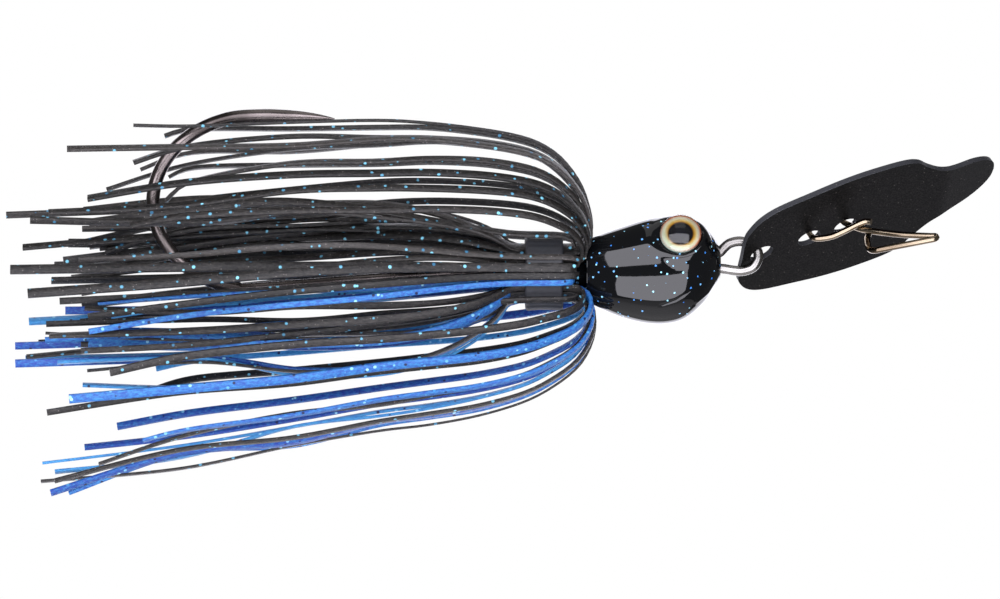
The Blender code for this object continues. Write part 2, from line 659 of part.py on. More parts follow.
def snap_route():
    """Centre line of the snap from its own pivot: along the blade, across it, and out from it."""
    first = BLADE_SNAP_HOLE - BLADE_REAR_HOLE
    second = first + BLADE_SNAP_HOLE_PITCH
    beside = SNAP_RADIUS * 2 + SNAP_TURN_GAP
    return smooth_route(
        [
            (second + 1.9 * MM, -beside * 1.15, 4.1 * MM),      # end of the rear latch
            (second + 1.15 * MM, -beside * 1.1, 3.55 * MM),
            (second - 1.2 * MM, -beside * 0.5, 3.35 * MM),
            (first + 1.8 * MM, 0, 2.95 * MM),
            (first + 0.35 * MM, 0, 2.4 * MM),
            (first + 0.05 * MM, 0, 1.5 * MM),
            (first + 0.35 * MM, 0, 0.25 * MM),                  # through the first hole
            (first + 1.2 * MM, 0, 0),
            (second - 1.2 * MM, 0, 0),
            (second - 0.3 * MM, 0, 0.25 * MM),                  # through the second hole
            (second, 0, 1.3 * MM),
            (second + 0.5 * MM, 0, 2.6 * MM),
            (second + 1.3 * MM, 0, 4.0 * MM),
            (second + 3.9 * MM, 0, 6.9 * MM),
            (second + 6.5 * MM, 0, 9.1 * MM),
            (second + 7.15 * MM, 0, 9.6 * MM),                  # the lobe's nose
            (second + 6.9 * MM, 0.05 * MM, 10.0 * MM),
            (second + 5.9 * MM, 0.05 * MM, 9.8 * MM),
            (second + 1.5 * MM, beside * 0.44, 8.2 * MM),
            (second + 0.5 * MM, beside * 0.75, 7.5 * MM),
            (second + 0.35 * MM, beside, 6.4 * MM),
            (second + 1.1 * MM, beside * 1.15, 4.3 * MM),
            (second + 1.7 * MM, beside * 1.1, 3.5 * MM),        # end of the front latch
        ],
        2,
    )


def make_snap(parts, material, blade_pivot):
    swing = bpy.data.objects.new("snap_pivot", None)
    parts.objects.link(swing)
    swing.parent = blade_pivot
    swing.location = (0, 0, BLADE_THICKNESS / 2 + SNAP_BACK_GAP + SNAP_RADIUS)
    swing.rotation_euler = (-SNAP_SWING, 0, 0)
    route = [Vector((along, side, -down)) for along, side, down in snap_route()]
    snap = tube("line_snap", route, SNAP_RADIUS, parts, material)
    snap.parent = swing
    return snap


def build():
    clear_scene()
    parts = new_collection("bladed_jig")
    cutters = new_collection("bladed_jig_cutters")
    paint = new_material("black_head_paint", (0.012, 0.012, 0.014), 0.08)
    steel = new_material("stainless_wire", (0.72, 0.72, 0.70), 0.22, 1.0)
    nickel = new_material("black_nickel_hook", (0.10, 0.10, 0.11), 0.25, 1.0)
    spring = new_material("black_nickel_spring_wire", (0.20, 0.17, 0.15), 0.25, 1.0)
    coating = new_material("matt_black_blade_coating", (0.02, 0.02, 0.02), 0.45)
    foil = new_material("pearl_eye_foil", (0.85, 0.78, 0.60), 0.25, 0.6)
    resin = new_material("clear_eye_resin", (0.95, 0.95, 0.95), 0.03, 0.0, 0.35)
    rubber = new_material("black_collar_rubber", (0.03, 0.03, 0.03), 0.5)
    black = new_material("black_flake_silicone", (0.045, 0.042, 0.042), 0.4)
    blue = new_material("blue_flake_silicone", (0.03, 0.12, 0.55), 0.35)

    wire_route = nose_wire_route()
    make_head(parts, cutters, paint, wire_route)
    tube("nose_wire", wire_route, WIRE_RADIUS, parts, steel, resolution=3)
    make_hook(parts, cutters, nickel)
    make_eyes(parts, foil, resin)
    make_collar(parts, rubber)
    for number in range(STRAND_COUNT):
        make_strand(number, parts, black, blue)
    pivot = make_blade(parts, coating)
    make_snap(parts, spring, pivot)


build()
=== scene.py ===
"""Bladed jig: the looks of the painted lead head, its cast-in wires, the nose blade with its line
snap, and the folded silicone skirt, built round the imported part.

Lengths are in metres. The nose points along +X, the hook's point up, the mid-plane is Y = 0 and
the origin is the centre of the wire eye on the nose.
"""

import math
import random

import bmesh
import bpy
from mathutils import Matrix, Vector


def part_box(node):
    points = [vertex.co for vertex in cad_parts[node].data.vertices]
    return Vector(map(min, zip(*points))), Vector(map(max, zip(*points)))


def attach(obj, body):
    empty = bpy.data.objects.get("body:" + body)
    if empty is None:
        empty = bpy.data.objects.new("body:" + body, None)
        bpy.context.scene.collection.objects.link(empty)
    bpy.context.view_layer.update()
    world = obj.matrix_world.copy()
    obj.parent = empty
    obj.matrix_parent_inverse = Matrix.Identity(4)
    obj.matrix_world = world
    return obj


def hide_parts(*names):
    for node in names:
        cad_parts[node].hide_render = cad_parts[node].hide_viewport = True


MM = 0.001

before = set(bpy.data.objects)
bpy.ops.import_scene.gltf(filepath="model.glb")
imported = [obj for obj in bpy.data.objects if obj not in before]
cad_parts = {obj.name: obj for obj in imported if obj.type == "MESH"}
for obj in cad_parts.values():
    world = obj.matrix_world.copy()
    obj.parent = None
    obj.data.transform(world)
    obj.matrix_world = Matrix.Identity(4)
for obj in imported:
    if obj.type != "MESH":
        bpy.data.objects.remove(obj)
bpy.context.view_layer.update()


# ---------------------------------------------------------------- small helpers

def srgb(code):
    """A hex colour as linear red, green, blue and alpha."""
    parts = [int(code[at:at + 2], 16) / 255 for at in (1, 3, 5)]
    return (*[p / 12.92 if p <= 0.04045 else ((p + 0.055) / 1.055) ** 2.4 for p in parts], 1.0)


def add(tree, kind, inputs=None, **settings):
    """Add a node with its settings; each input is a value or the socket that feeds it."""
    made = tree.nodes.new(kind)
    for name, value in settings.items():
        setattr(made, name, value)
    for name, value in (inputs or {}).items():
        if isinstance(value, bpy.types.NodeSocket):
            tree.links.new(value, made.inputs[name])
        else:
            made.inputs[name].default_value = value
    return made


def new_finish(name):
    """An empty material and its Principled shader, wired to the output."""
    finish = bpy.data.materials.new(name)
    finish.use_nodes = True
    tree = finish.node_tree
    tree.nodes.clear()
    shader = add(tree, "ShaderNodeBsdfPrincipled")
    add(tree, "ShaderNodeOutputMaterial", {"Surface": shader.outputs["BSDF"]})
    return finish, tree, shader


def mm(x, y, z):
    """A place given in millimetres, in metres."""
    return Vector((x, y, z)) * MM


def smooth_route(points, steps):
    """Points along a Catmull-Rom curve through the given points, with any number of values each."""
    points = [Vector(point) for point in points]
    route = []
    for index in range(len(points) - 1):
        before, start = points[max(index - 1, 0)], points[index]
        end, after = points[index + 1], points[min(index + 2, len(points) - 1)]
        for step in range(steps):
            t = step / steps
            route.append(
                start * (2 * t**3 - 3 * t**2 + 1) + (end - before) * 0.5 * (t**3 - 2 * t**2 + t)
                + end * (3 * t**2 - 2 * t**3) + (after - start) * 0.5 * (t**3 - t**2)
            )
    route.append(points[-1])
    return route


def even_route(route, spacing):
    """The same route with its points an even distance apart."""
    reach = [0.0]
    for here, there in zip(route, route[1:]):
        reach.append(reach[-1] + (there.xyz - here.xyz).length)
    count = max(int(reach[-1] / spacing), 2)
    made, at = [], 0
    for step in range(count + 1):
        goal = reach[-1] * step / count
        while at < len(route) - 2 and reach[at + 1] < goal:
            at += 1
        span = max(reach[at + 1] - reach[at], 1e-12)
        made.append(route[at].lerp(route[at + 1], min((goal - reach[at]) / span, 1.0)))
    return made


def mesh_object(name, mesh, finish=None):
    """A mesh in the scene as an object at the origin, with its finish if it has one yet."""
    thing = bpy.data.objects.new(name, mesh)
    bpy.context.scene.collection.objects.link(thing)
    if finish:
        mesh.materials.clear()
        mesh.materials.append(finish)
    return thing


def settled(thing, name):
    """The evaluated object as a plain mesh object at the origin; the source is removed."""
    bpy.context.view_layer.update()
    shown = thing.evaluated_get(bpy.context.evaluated_depsgraph_get())
    mesh = bpy.data.meshes.new_from_object(shown)
    mesh.transform(thing.matrix_world)
    mesh.name = name
    bpy.data.objects.remove(thing, do_unlink=True)
    return mesh_object(name, mesh)


def plain_mesh(name, work):
    """The worked mesh as a finished one; the work is freed."""
    mesh = bpy.data.meshes.new(name)
    work.to_mesh(mesh)
    work.free()
    return mesh


def lathe_ring(work, centre, across, upward, radius, steps):
    """A ring of points about a centre, or the centre alone where the radius is nothing."""
    if radius == 0:
        return [work.verts.new(centre)]
    return [work.verts.new(centre + (
        across * math.cos(math.tau * step / steps) + upward * math.sin(math.tau * step / steps)
    ) * radius) for step in range(steps)]


def skin_rings(work, rings, closed=False):
    """Faces from each ring to the next, and to the first from the last if the form is closed."""
    for one, two in zip(rings, rings[1:] + (rings[:1] if closed else [])):
        count = max(len(one), len(two))
        for step in range(count):
            after = (step + 1) % count
            corners = [one[step % len(one)], one[after % len(one)],
                       two[after % len(two)], two[step % len(two)]]
            work.faces.new(list(dict.fromkeys(corners)))
    bmesh.ops.recalc_face_normals(work, faces=work.faces)


def put_on(piece, body, slot, *nodes):
    """The piece rides on its body and stands for these CAD nodes, which it hides; slot is not used."""
    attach(piece, body)
    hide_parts(*nodes)


# ---------------------------------------------------------------- node trees for what follows a path

def new_tree(name, sockets):
    """A Geometry Nodes tree with a geometry in and out and these named inputs."""
    tree = bpy.data.node_groups.new(name, "GeometryNodeTree")
    tree.interface.new_socket("Geometry", in_out="INPUT", socket_type="NodeSocketGeometry")
    for label, kind, value in sockets:
        socket = tree.interface.new_socket(label, in_out="INPUT", socket_type=kind)
        if value is not None:
            socket.default_value = value
    tree.interface.new_socket("Geometry", in_out="OUTPUT", socket_type="NodeSocketGeometry")
    return tree, add(tree, "NodeGroupInput")


def drawn_wire_tree():
    """Round wire along each route, thinned point by point by the attribute wire_size."""
    tree, given = new_tree("drawn_wire", [
        ("Wire Radius", "NodeSocketFloat", 0.5 * MM),
        ("Sides", "NodeSocketInt", 24),
        ("Finish", "NodeSocketMaterial", None),
    ])
    line = add(tree, "GeometryNodeMeshToCurve", {"Mesh": given.outputs["Geometry"]})
    size = add(tree, "GeometryNodeInputNamedAttribute", {"Name": "wire_size"}, data_type="FLOAT")
    ring = add(tree, "GeometryNodeCurvePrimitiveCircle", {
        "Resolution": given.outputs["Sides"], "Radius": given.outputs["Wire Radius"]})
    swept = add(tree, "GeometryNodeCurveToMesh", {
        "Curve": line.outputs[0], "Profile Curve": ring.outputs[0],
        "Scale": size.outputs["Attribute"], "Fill Caps": True})
    real = add(tree, "GeometryNodeRealizeInstances", {"Geometry": swept.outputs[0]})
    done = add(tree, "GeometryNodeSetMaterial", {
        "Geometry": real.outputs[0], "Material": given.outputs["Finish"]})
    add(tree, "NodeGroupOutput", {"Geometry": done.outputs[0]})
    return tree


def cut_strip_tree():
    """A flat strip along each route, its flat side turned to the attribute flat_side.

    Each strip is a little wider or narrower than the next, as strips cut from one moulded sheet
    are, and keeps the attribute shade for its colour.
    """
    tree, given = new_tree("cut_strip", [
        ("Width", "NodeSocketFloat", 1.2 * MM),
        ("Thickness", "NodeSocketFloat", 0.5 * MM),
        ("Edge Radius", "NodeSocketFloat", 0.08 * MM),
        ("Width Variation", "NodeSocketFloat", 0.12),
        ("Seed", "NodeSocketInt", 5),
        ("Finish", "NodeSocketMaterial", None),
    ])
    line = add(tree, "GeometryNodeMeshToCurve", {"Mesh": given.outputs["Geometry"]})
    facing = add(tree, "GeometryNodeInputNamedAttribute", {"Name": "flat_side"},
                 data_type="FLOAT_VECTOR")
    turned = add(tree, "GeometryNodeSetCurveNormal", {
        "Curve": line.outputs[0], "Normal": facing.outputs["Attribute"]}, mode="FREE")
    which = add(tree, "GeometryNodeInputNamedAttribute", {"Name": "strand"}, data_type="INT")
    least = add(tree, "ShaderNodeMath", {0: 1.0, 1: given.outputs["Width Variation"]},
                operation="SUBTRACT")
    most = add(tree, "ShaderNodeMath", {0: 1.0, 1: given.outputs["Width Variation"]},
               operation="ADD")
    share = add(tree, "FunctionNodeRandomValue", {
        "ID": which.outputs["Attribute"], "Seed": given.outputs["Seed"]}, data_type="FLOAT")
    tree.links.new(least.outputs[0], share.inputs[2])
    tree.links.new(most.outputs[0], share.inputs[3])
    section = add(tree, "GeometryNodeCurvePrimitiveQuadrilateral", {
        "Width": given.outputs["Thickness"], "Height": given.outputs["Width"]})
    eased = add(tree, "GeometryNodeFilletCurve", {
        "Curve": section.outputs[0], "Radius": given.outputs["Edge Radius"]})
    swept = add(tree, "GeometryNodeCurveToMesh", {
        "Curve": turned.outputs[0], "Profile Curve": eased.outputs[0],
        "Scale": share.outputs[1], "Fill Caps": True})
    real = add(tree, "GeometryNodeRealizeInstances", {"Geometry": swept.outputs[0]})
    done = add(tree, "GeometryNodeSetMaterial", {
        "Geometry": real.outputs[0], "Material": given.outputs["Finish"]})
    add(tree, "NodeGroupOutput", {"Geometry": done.outputs[0]})
    return tree


def run_tree(name, routes, tree, inputs, facings=None, marks=None):
    """Sweep every route with the tree and return the result as a plain mesh object.

    routes hold 4-value points (place and size share), facings the flat side's direction at each
    point, and marks a number and a shade for each route.
    """
    points, edges, sizes, sides, numbers, shades = [], [], [], [], [], []
    for index, route in enumerate(routes):
        first = len(points)
        points.extend(place.xyz for place in route)
        edges.extend((first + at, first + at + 1) for at in range(len(route) - 1))
        sizes.extend(place.w for place in route)
        if facings:
            sides.extend(facings[index])
        number, shade = marks[index] if marks else (index, 0.5)
        numbers.extend([number] * len(route))
        shades.extend([shade] * len(route))
    mesh = bpy.data.meshes.new(name)
    mesh.from_pydata(points, edges, [])
    mesh.attributes.new("wire_size", "FLOAT", "POINT").data.foreach_set("value", sizes)
    mesh.attributes.new("strand", "INT", "POINT").data.foreach_set("value", numbers)
    mesh.attributes.new("shade", "FLOAT", "POINT").data.foreach_set("value", shades)
    if facings:
        flat = [value for side in sides for value in side]
        mesh.attributes.new("flat_side", "FLOAT_VECTOR", "POINT").data.foreach_set("vector", flat)
    source = mesh_object(name + "_routes", mesh)
    modifier = source.modifiers.new(tree.name, "NODES")
    modifier.node_group = tree
    for item in tree.interface.items_tree:
        if item.in_out == "INPUT" and item.name in inputs:
            modifier[item.identifier] = inputs[item.name]
    made = settled(source, name)
    made.data.shade_smooth()
    made.data.set_sharp_from_angle(angle=math.radians(50))
    return made


# ---------------------------------------------------------------- finishes

def per(size):
    """The scale at which a pattern repeats about once in a size given in millimetres."""
    return 1 / (size * MM)


def speckle(tree, place, spacing, radius, seed):
    """Round specks, with their spacing and radius in mm: how much of one is here, and its tone."""
    moved = add(tree, "ShaderNodeMapping", {
        "Vector": place, "Location": (seed * 0.37, seed * 0.11, seed * 0.23),
        "Scale": (per(spacing),) * 3}, vector_type="POINT")
    cells = add(tree, "ShaderNodeTexVoronoi", {
        "Vector": moved.outputs[0], "Scale": 1.0, "Randomness": 1.0}, feature="F1")
    inside = add(tree, "ShaderNodeMapRange", {
        "Value": cells.outputs["Distance"], "From Min": radius / spacing,
        "From Max": radius / spacing * 0.72, "To Min": 0.0, "To Max": 1.0})
    tint = add(tree, "ShaderNodeSeparateColor", {"Color": cells.outputs["Color"]})
    return inside.outputs[0], tint.outputs[0]


def gloss_head_enamel():
    """Baked gloss enamel over cast lead with blue glitter stirred in: deep black, wet-looking
    clear surface with sharp reflections, and small hexagon flakes that lie just under it."""
    finish, tree, shader = new_finish("baked_black_glitter_enamel")
    place = add(tree, "ShaderNodeTexCoord").outputs["Object"]
    mask, tone = speckle(tree, place, 0.8, 0.135, 3)
    tint = add(tree, "ShaderNodeMix", {0: tone, 6: srgb("#2f7fe0"), 7: srgb("#a9ecf6")},
               data_type="RGBA")
    paint = add(tree, "ShaderNodeMix", {0: mask, 6: srgb("#08090b"), 7: tint.outputs[2]},
                data_type="RGBA")
    tree.links.new(paint.outputs[2], shader.inputs["Base Color"])
    swell = add(tree, "ShaderNodeTexNoise", {"Vector": place, "Scale": per(2.38), "Detail": 2.0})
    bump = add(tree, "ShaderNodeBump", {
        "Height": swell.outputs[0], "Strength": 0.12, "Distance": 0.05 * MM})
    tree.links.new(bump.outputs[0], shader.inputs["Coat Normal"])
    shader.inputs["Roughness"].default_value = 0.5
    shader.inputs["Specular IOR Level"].default_value = 0.0
    shader.inputs["Coat Weight"].default_value = 1.0
    shader.inputs["Coat Roughness"].default_value = 0.035
    shader.inputs["Coat IOR"].default_value = 1.5
    return finish


def printed_eye_foil():
    """Pearl foil disc printed with a dark pupil: rings of gold, cream and pale green that shift
    round the eye, a thin rose-gold rim, and a near-black pupil. It is bonded under resin, so it has
    no clear gloss of its own."""
    finish, tree, shader = new_finish("pearl_printed_foil")
    print_map = add(tree, "ShaderNodeUVMap", uv_map="print").outputs[0]
    centred = add(tree, "ShaderNodeVectorMath", {0: print_map, 1: (0.5, 0.5, 0.0)},
                  operation="SUBTRACT")
    reach = add(tree, "ShaderNodeVectorMath", {0: centred.outputs[0]}, operation="LENGTH")
    parts = add(tree, "ShaderNodeSeparateXYZ", {"Vector": centred.outputs[0]})
    turn = add(tree, "ShaderNodeMath", {0: parts.outputs[1], 1: parts.outputs[0]},
               operation="ARCTAN2")
    rings = add(tree, "ShaderNodeValToRGB", {"Fac": reach.outputs["Value"]})
    ramp = rings.color_ramp
    stops = [
        (0.0, "#1b1c24"), (0.285, "#0c0b0e"), (0.30, "#5a3a10"), (0.325, "#c8922a"),
        (0.36, "#e8c46a"), (0.40, "#f2eec0"), (0.445, "#f0e0c8"), (0.468, "#e09a6c"),
        (0.488, "#b85a30"), (0.5, "#5a2c1a"),
    ]
    while len(ramp.elements) > 1:
        ramp.elements.remove(ramp.elements[0])
    ramp.elements[0].position = stops[0][0]
    ramp.elements[0].color = srgb(stops[0][1])
    for where, code in stops[1:]:
        ramp.elements.new(where).color = srgb(code)
    swirl = add(tree, "ShaderNodeMath", {0: turn.outputs[0], 1: 0.6}, operation="ADD")
    cool = add(tree, "ShaderNodeMath", {0: swirl.outputs[0]}, operation="SINE")
    cool_part = add(tree, "ShaderNodeMapRange", {
        "Value": cool.outputs[0], "From Min": 0.1, "From Max": -0.9, "To Min": 0.0, "To Max": 0.5})
    ring_part = add(tree, "ShaderNodeMapRange", {
        "Value": reach.outputs["Value"], "From Min": 0.30, "From Max": 0.36,
        "To Min": 0.0, "To Max": 1.0})
    how_cool = add(tree, "ShaderNodeMath", {0: cool_part.outputs[0], 1: ring_part.outputs[0]},
                   operation="MULTIPLY")
    shifted = add(tree, "ShaderNodeMix", {
        0: how_cool.outputs[0], 6: rings.outputs[0], 7: srgb("#bfe9dc")}, data_type="RGBA")
    tree.links.new(shifted.outputs[2], shader.inputs["Base Color"])
    shader.inputs["Metallic"].default_value = 0.35
    shader.inputs["Roughness"].default_value = 0.32
    shader.inputs["Specular IOR Level"].default_value = 0.0
    return finish


def clear_dome_resin():
    """Cast epoxy dome: colourless and clear, so only its gloss shows over the foil."""
    finish, tree, shader = new_finish("clear_cast_epoxy")
    tree.nodes.remove(shader)
    edge = add(tree, "ShaderNodeFresnel", {"IOR": 1.5})
    through = add(tree, "ShaderNodeBsdfTransparent", {"Color": (0.97, 0.97, 0.97, 1.0)})
    gloss = add(tree, "ShaderNodeBsdfAnisotropic", {
        "Color": (1.0, 1.0, 1.0, 1.0), "Roughness": 0.05})
    both = add(tree, "ShaderNodeMixShader", {
        0: edge.outputs[0], 1: through.outputs[0], 2: gloss.outputs[0]})
    output = next(made for made in tree.nodes if made.type == "OUTPUT_MATERIAL")
    tree.links.new(both.outputs[0], output.inputs["Surface"])
    return finish


def drawn_metal(name, light, dark, roughness, grain):
    """Drawn wire: its gloss wavers over each grain, in mm, and its colour over blotches six times
    as large, as plating and die marks leave it."""
    finish, tree, shader = new_finish(name)
    place = add(tree, "ShaderNodeTexCoord").outputs["Object"]
    fine = add(tree, "ShaderNodeTexNoise", {
        "Vector": place, "Scale": per(grain), "Detail": 4.0, "Roughness": 0.65})
    blotch = add(tree, "ShaderNodeTexNoise", {
        "Vector": place, "Scale": per(grain * 6), "Detail": 2.0})
    tone = add(tree, "ShaderNodeMapRange", {
        "Value": blotch.outputs[0], "From Min": 0.35, "From Max": 0.65, "To Min": 0.0, "To Max": 1.0})
    colour = add(tree, "ShaderNodeMix", {0: tone.outputs[0], 6: srgb(dark), 7: srgb(light)},
                 data_type="RGBA")
    gloss = add(tree, "ShaderNodeMapRange", {
        "Value": fine.outputs[0], "From Min": 0.3, "From Max": 0.7,
        "To Min": roughness * 0.7, "To Max": roughness * 1.4})
    bump = add(tree, "ShaderNodeBump", {
        "Height": fine.outputs[0], "Strength": 0.15, "Distance": 0.02 * MM})
    tree.links.new(colour.outputs[2], shader.inputs["Base Color"])
    tree.links.new(gloss.outputs[0], shader.inputs["Roughness"])
    tree.links.new(bump.outputs[0], shader.inputs["Normal"])
    shader.inputs["Metallic"].default_value = 1.0
    return finish


def blade_coating():
    """Electrophoretic black lacquer on stamped steel: satin, faintly grainy, with pale dust-fine
    specks. The attribute stamped_edge says how much lighter, metallic steel colour the edge takes:
    partly bare steel, partly a painted highlight along the sheet's edge."""
    finish, tree, shader = new_finish("satin_black_e_coat")
    place = add(tree, "ShaderNodeTexCoord").outputs["Object"]
    # the real grain is finer than this, which is as fine as shows
    mask, tone = speckle(tree, place, 0.55, 0.07, 8)
    grain = add(tree, "ShaderNodeTexNoise", {"Vector": place, "Scale": per(0.1923), "Detail": 3.0})
    share = add(tree, "ShaderNodeMapRange", {
        "Value": grain.outputs[0], "From Min": 0.42, "From Max": 0.62, "To Min": 0.0, "To Max": 1.0})
    base = add(tree, "ShaderNodeMix", {0: share.outputs[0], 6: srgb("#010101"), 7: srgb("#171615")},
               data_type="RGBA")
    fleck = add(tree, "ShaderNodeMath", {0: mask, 1: tone}, operation="MULTIPLY")
    colour = add(tree, "ShaderNodeMix", {0: fleck.outputs[0], 6: base.outputs[2], 7: srgb("#5b5852")},
                 data_type="RGBA")
    edge = add(tree, "ShaderNodeAttribute", attribute_name="stamped_edge").outputs["Fac"]
    # lighter, metallic steel on the edge and wall: partly bare steel, partly a painted highlight along
    # the edge
    bare_steel_and_edge_highlight = add(tree, "ShaderNodeMix", {0: edge, 6: colour.outputs[2], 7: srgb("#77797f")},
               data_type="RGBA")
    bump = add(tree, "ShaderNodeBump", {
        "Height": grain.outputs[0], "Strength": 0.25, "Distance": 0.02 * MM})
    tree.links.new(bare_steel_and_edge_highlight.outputs[2], shader.inputs["Base Color"])
    tree.links.new(edge, shader.inputs["Metallic"])
    tree.links.new(bump.outputs[0], shader.inputs["Normal"])
    shader.inputs["Roughness"].default_value = 0.5
    shader.inputs["Specular IOR Level"].default_value = 0.02
    return finish


def collar_rubber():
    """Extruded black rubber band, cut square: matt, dusty dark grey with a soft sheen."""
    finish, tree, shader = new_finish("extruded_black_rubber")
    place = add(tree, "ShaderNodeTexCoord").outputs["Object"]
    grain = add(tree, "ShaderNodeTexNoise", {"Vector": place, "Scale": per(0.385), "Detail": 5.0})
    colour = add(tree, "ShaderNodeMix", {
        0: grain.outputs[0], 6: srgb("#232427"), 7: srgb("#34353a")}, data_type="RGBA")
    bump = add(tree, "ShaderNodeBump", {
        "Height": grain.outputs[0], "Strength": 0.3, "Distance": 0.03 * MM})
    tree.links.new(colour.outputs[2], shader.inputs["Base Color"])
    tree.links.new(bump.outputs[0], shader.inputs["Normal"])
    shader.inputs["Roughness"].default_value = 0.5
    return finish


def flake_silicone(name, deep, pale, bright, dull, fleck, fleck_size, fleck_share):
    """Moulded silicone strip with glitter in it: soft satin, fine cloudy grain along its length,
    round metal flakes near the surface, and flecks of a second colour among them.

    deep and pale are the silicone's colours, bright and dull the flakes'; each flake takes a random
    mix of the two, partly its own tint and partly a painted glint. The flecks have a size in mm and a
    share of the places where one could be.
    """
    finish, tree, shader = new_finish(name)
    place = add(tree, "ShaderNodeTexCoord").outputs["Object"]
    drawn = add(tree, "ShaderNodeMapping", {
        "Vector": place, "Scale": (per(0.588), per(0.238), per(0.238))})
    grain = add(tree, "ShaderNodeTexNoise", {"Vector": drawn.outputs[0], "Scale": 1.0,
                                             "Detail": 5.0, "Roughness": 0.75})
    own = add(tree, "ShaderNodeAttribute", attribute_name="shade")
    tone = add(tree, "ShaderNodeMapRange", {
        "Value": grain.outputs[0], "From Min": 0.4, "From Max": 0.66, "To Min": -0.2, "To Max": 0.55})
    both = add(tree, "ShaderNodeMath", {0: tone.outputs[0], 1: own.outputs["Fac"]},
               operation="ADD")
    base = add(tree, "ShaderNodeMix", {0: both.outputs[0], 6: srgb(deep), 7: srgb(pale)},
               data_type="RGBA", clamp_factor=True)
    mask, flake_tint_and_glint = speckle(tree, place, 1.2, 0.22, 12)
    # each flake's random tone is partly its own tint and partly a painted glint
    flake = add(tree, "ShaderNodeMix", {0: flake_tint_and_glint, 6: srgb(dull), 7: srgb(bright)},
                data_type="RGBA")
    spotted = add(tree, "ShaderNodeMix", {0: mask, 6: base.outputs[2], 7: flake.outputs[2]},
                  data_type="RGBA")
    second, choice = speckle(tree, place, fleck_size * 5.5, fleck_size, 31)
    chosen = add(tree, "ShaderNodeMath", {0: choice, 1: 1 - fleck_share},
                 operation="GREATER_THAN")
    amount = add(tree, "ShaderNodeMath", {0: second, 1: chosen.outputs[0]},
                 operation="MULTIPLY")
    colour = add(tree, "ShaderNodeMix", {
        0: amount.outputs[0], 6: spotted.outputs[2], 7: srgb(fleck)}, data_type="RGBA")
    tree.links.new(colour.outputs[2], shader.inputs["Base Color"])
    bump = add(tree, "ShaderNodeBump", {
        "Height": grain.outputs[0], "Strength": 0.9, "Distance": 0.12 * MM})
    tree.links.new(bump.outputs[0], shader.inputs["Normal"])
    shader.inputs["Roughness"].default_value = 0.38
    shader.inputs["Specular IOR Level"].default_value = 0.45
    return finish


# ---------------------------------------------------------------- head

# Named sizes and points from here to the studio are in mm.
HEAD_NOSE_X, HEAD_LENGTH, HEAD_HEIGHT, HEAD_WIDTH, HEAD_CENTRE_Z = -2.3, 14.9, 12.0, 9.8, -1.5
HEAD_SQUARENESS = 2.5
# Share of the length, top and bottom as shares of the height, and share of the half width.
HEAD_OUTLINE = [
    (0.000, 0.06, 0.06, 0.00), (0.000, 0.17, -0.06, 0.28), (0.045, 0.300, -0.170, 0.55),
    (0.130, 0.415, -0.320, 0.79), (0.260, 0.490, -0.455, 0.94), (0.400, 0.495, -0.505, 1.00),
    (0.560, 0.465, -0.500, 0.99), (0.740, 0.395, -0.445, 0.87), (0.900, 0.325, -0.360, 0.70),
    (0.985, 0.27, -0.29, 0.58), (1.000, 0.22, -0.25, 0.50), (1.000, -0.02, -0.02, 0.00),
]
SHAFT_Z = -1.9                      # the height of the axis of the barrel, collar and hook eye
BARREL = [(-17.0, 0.0), (-17.0, 1.6), (-24.4, 1.6), (-24.64, 1.78), (-25.0, 1.78), (-25.0, 0.0)]
EYE_TILT = math.radians(27)
EYE_RADIUS = 2.3
EYE_SEAT_MARGIN, EYE_SEAT_DEPTH, EYE_SEAT_FADE = 0.12, 0.12, 1.5
# Heights along the eye's axis from the foil's middle; the dome's rise is above its wall.
FOIL_BACK, FOIL_EDGE, FOIL_FACE = -0.1, 0.08, 0.1
DOME_BASE, DOME_WALL, DOME_RISE = 0.16, 0.22, 0.85

# Lines cut in or raised on each side of the head, as (x, z) in mm, with a depth (minus is
# raised) and a half width.
HEAD_LINES = [
    ([(-4.9, -3.1), (-5.9, -4.0), (-7.3, -4.9), (-9.0, -5.5)], 0.05, 0.12),
    ([(-4.2, -1.6), (-4.6, -1.75), (-4.7, -2.2), (-4.45, -2.7), (-4.15, -2.8)], 0.08, 0.16),
    ([(-3.0, -3.0), (-3.7, -4.1), (-5.0, -5.2)], -0.07, 0.12),
]


def distance_to_line(x, z, line):
    """How far a point is from a line of straight runs, all in the side view."""
    best = 1e9
    for (ax, az), (bx, bz) in zip(line, line[1:]):
        dx, dz = bx - ax, bz - az
        t = max(0.0, min(1.0, ((x - ax) * dx + (z - az) * dz) / (dx * dx + dz * dz)))
        best = min(best, math.hypot(x - ax - dx * t, z - az - dz * t))
    return best


def eye_places():
    """For each side: the foil's centre in metres and the direction that it faces."""
    places = {}
    for side, word in ((1, "left"), (-1, "right")):
        low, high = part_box(f"eye_foil_{word}")
        out = Vector((0, side * math.cos(EYE_TILT), math.sin(EYE_TILT)))
        places[word] = ((low + high) / 2, out)
    return places


def squared(value):
    """A sine or cosine pushed outward, so that the head's section is a rounded square."""
    return math.copysign(abs(value) ** (2 / HEAD_SQUARENESS), value)


def seat_lift(offset, out):
    """How far a point of the head's skin moves along out, to lie under the eye's foil.

    Outside the foil the move fades away, and it fades faster above the eye than below.
    """
    level = offset.dot(out)
    if level < -1.6 * MM or offset.y * out.y < -3 * MM:
        return 0.0
    across = (offset - out * level).length / MM
    beyond = across - EYE_RADIUS - EYE_SEAT_MARGIN
    level += EYE_SEAT_DEPTH * MM
    if beyond < 0:
        return -level
    fade = 1 - min(beyond / EYE_SEAT_FADE, 1.0)
    fade = fade ** 3 * (1 + 3 * (1 - fade) + 6 * (1 - fade) ** 2)
    upward = Vector((0, -out.y * out.z, out.y ** 2)).normalized()
    above = max(offset.dot(upward) / (across * MM), 0.0)
    return (0.08 * MM - level) * fade * (1 - 0.85 * above)


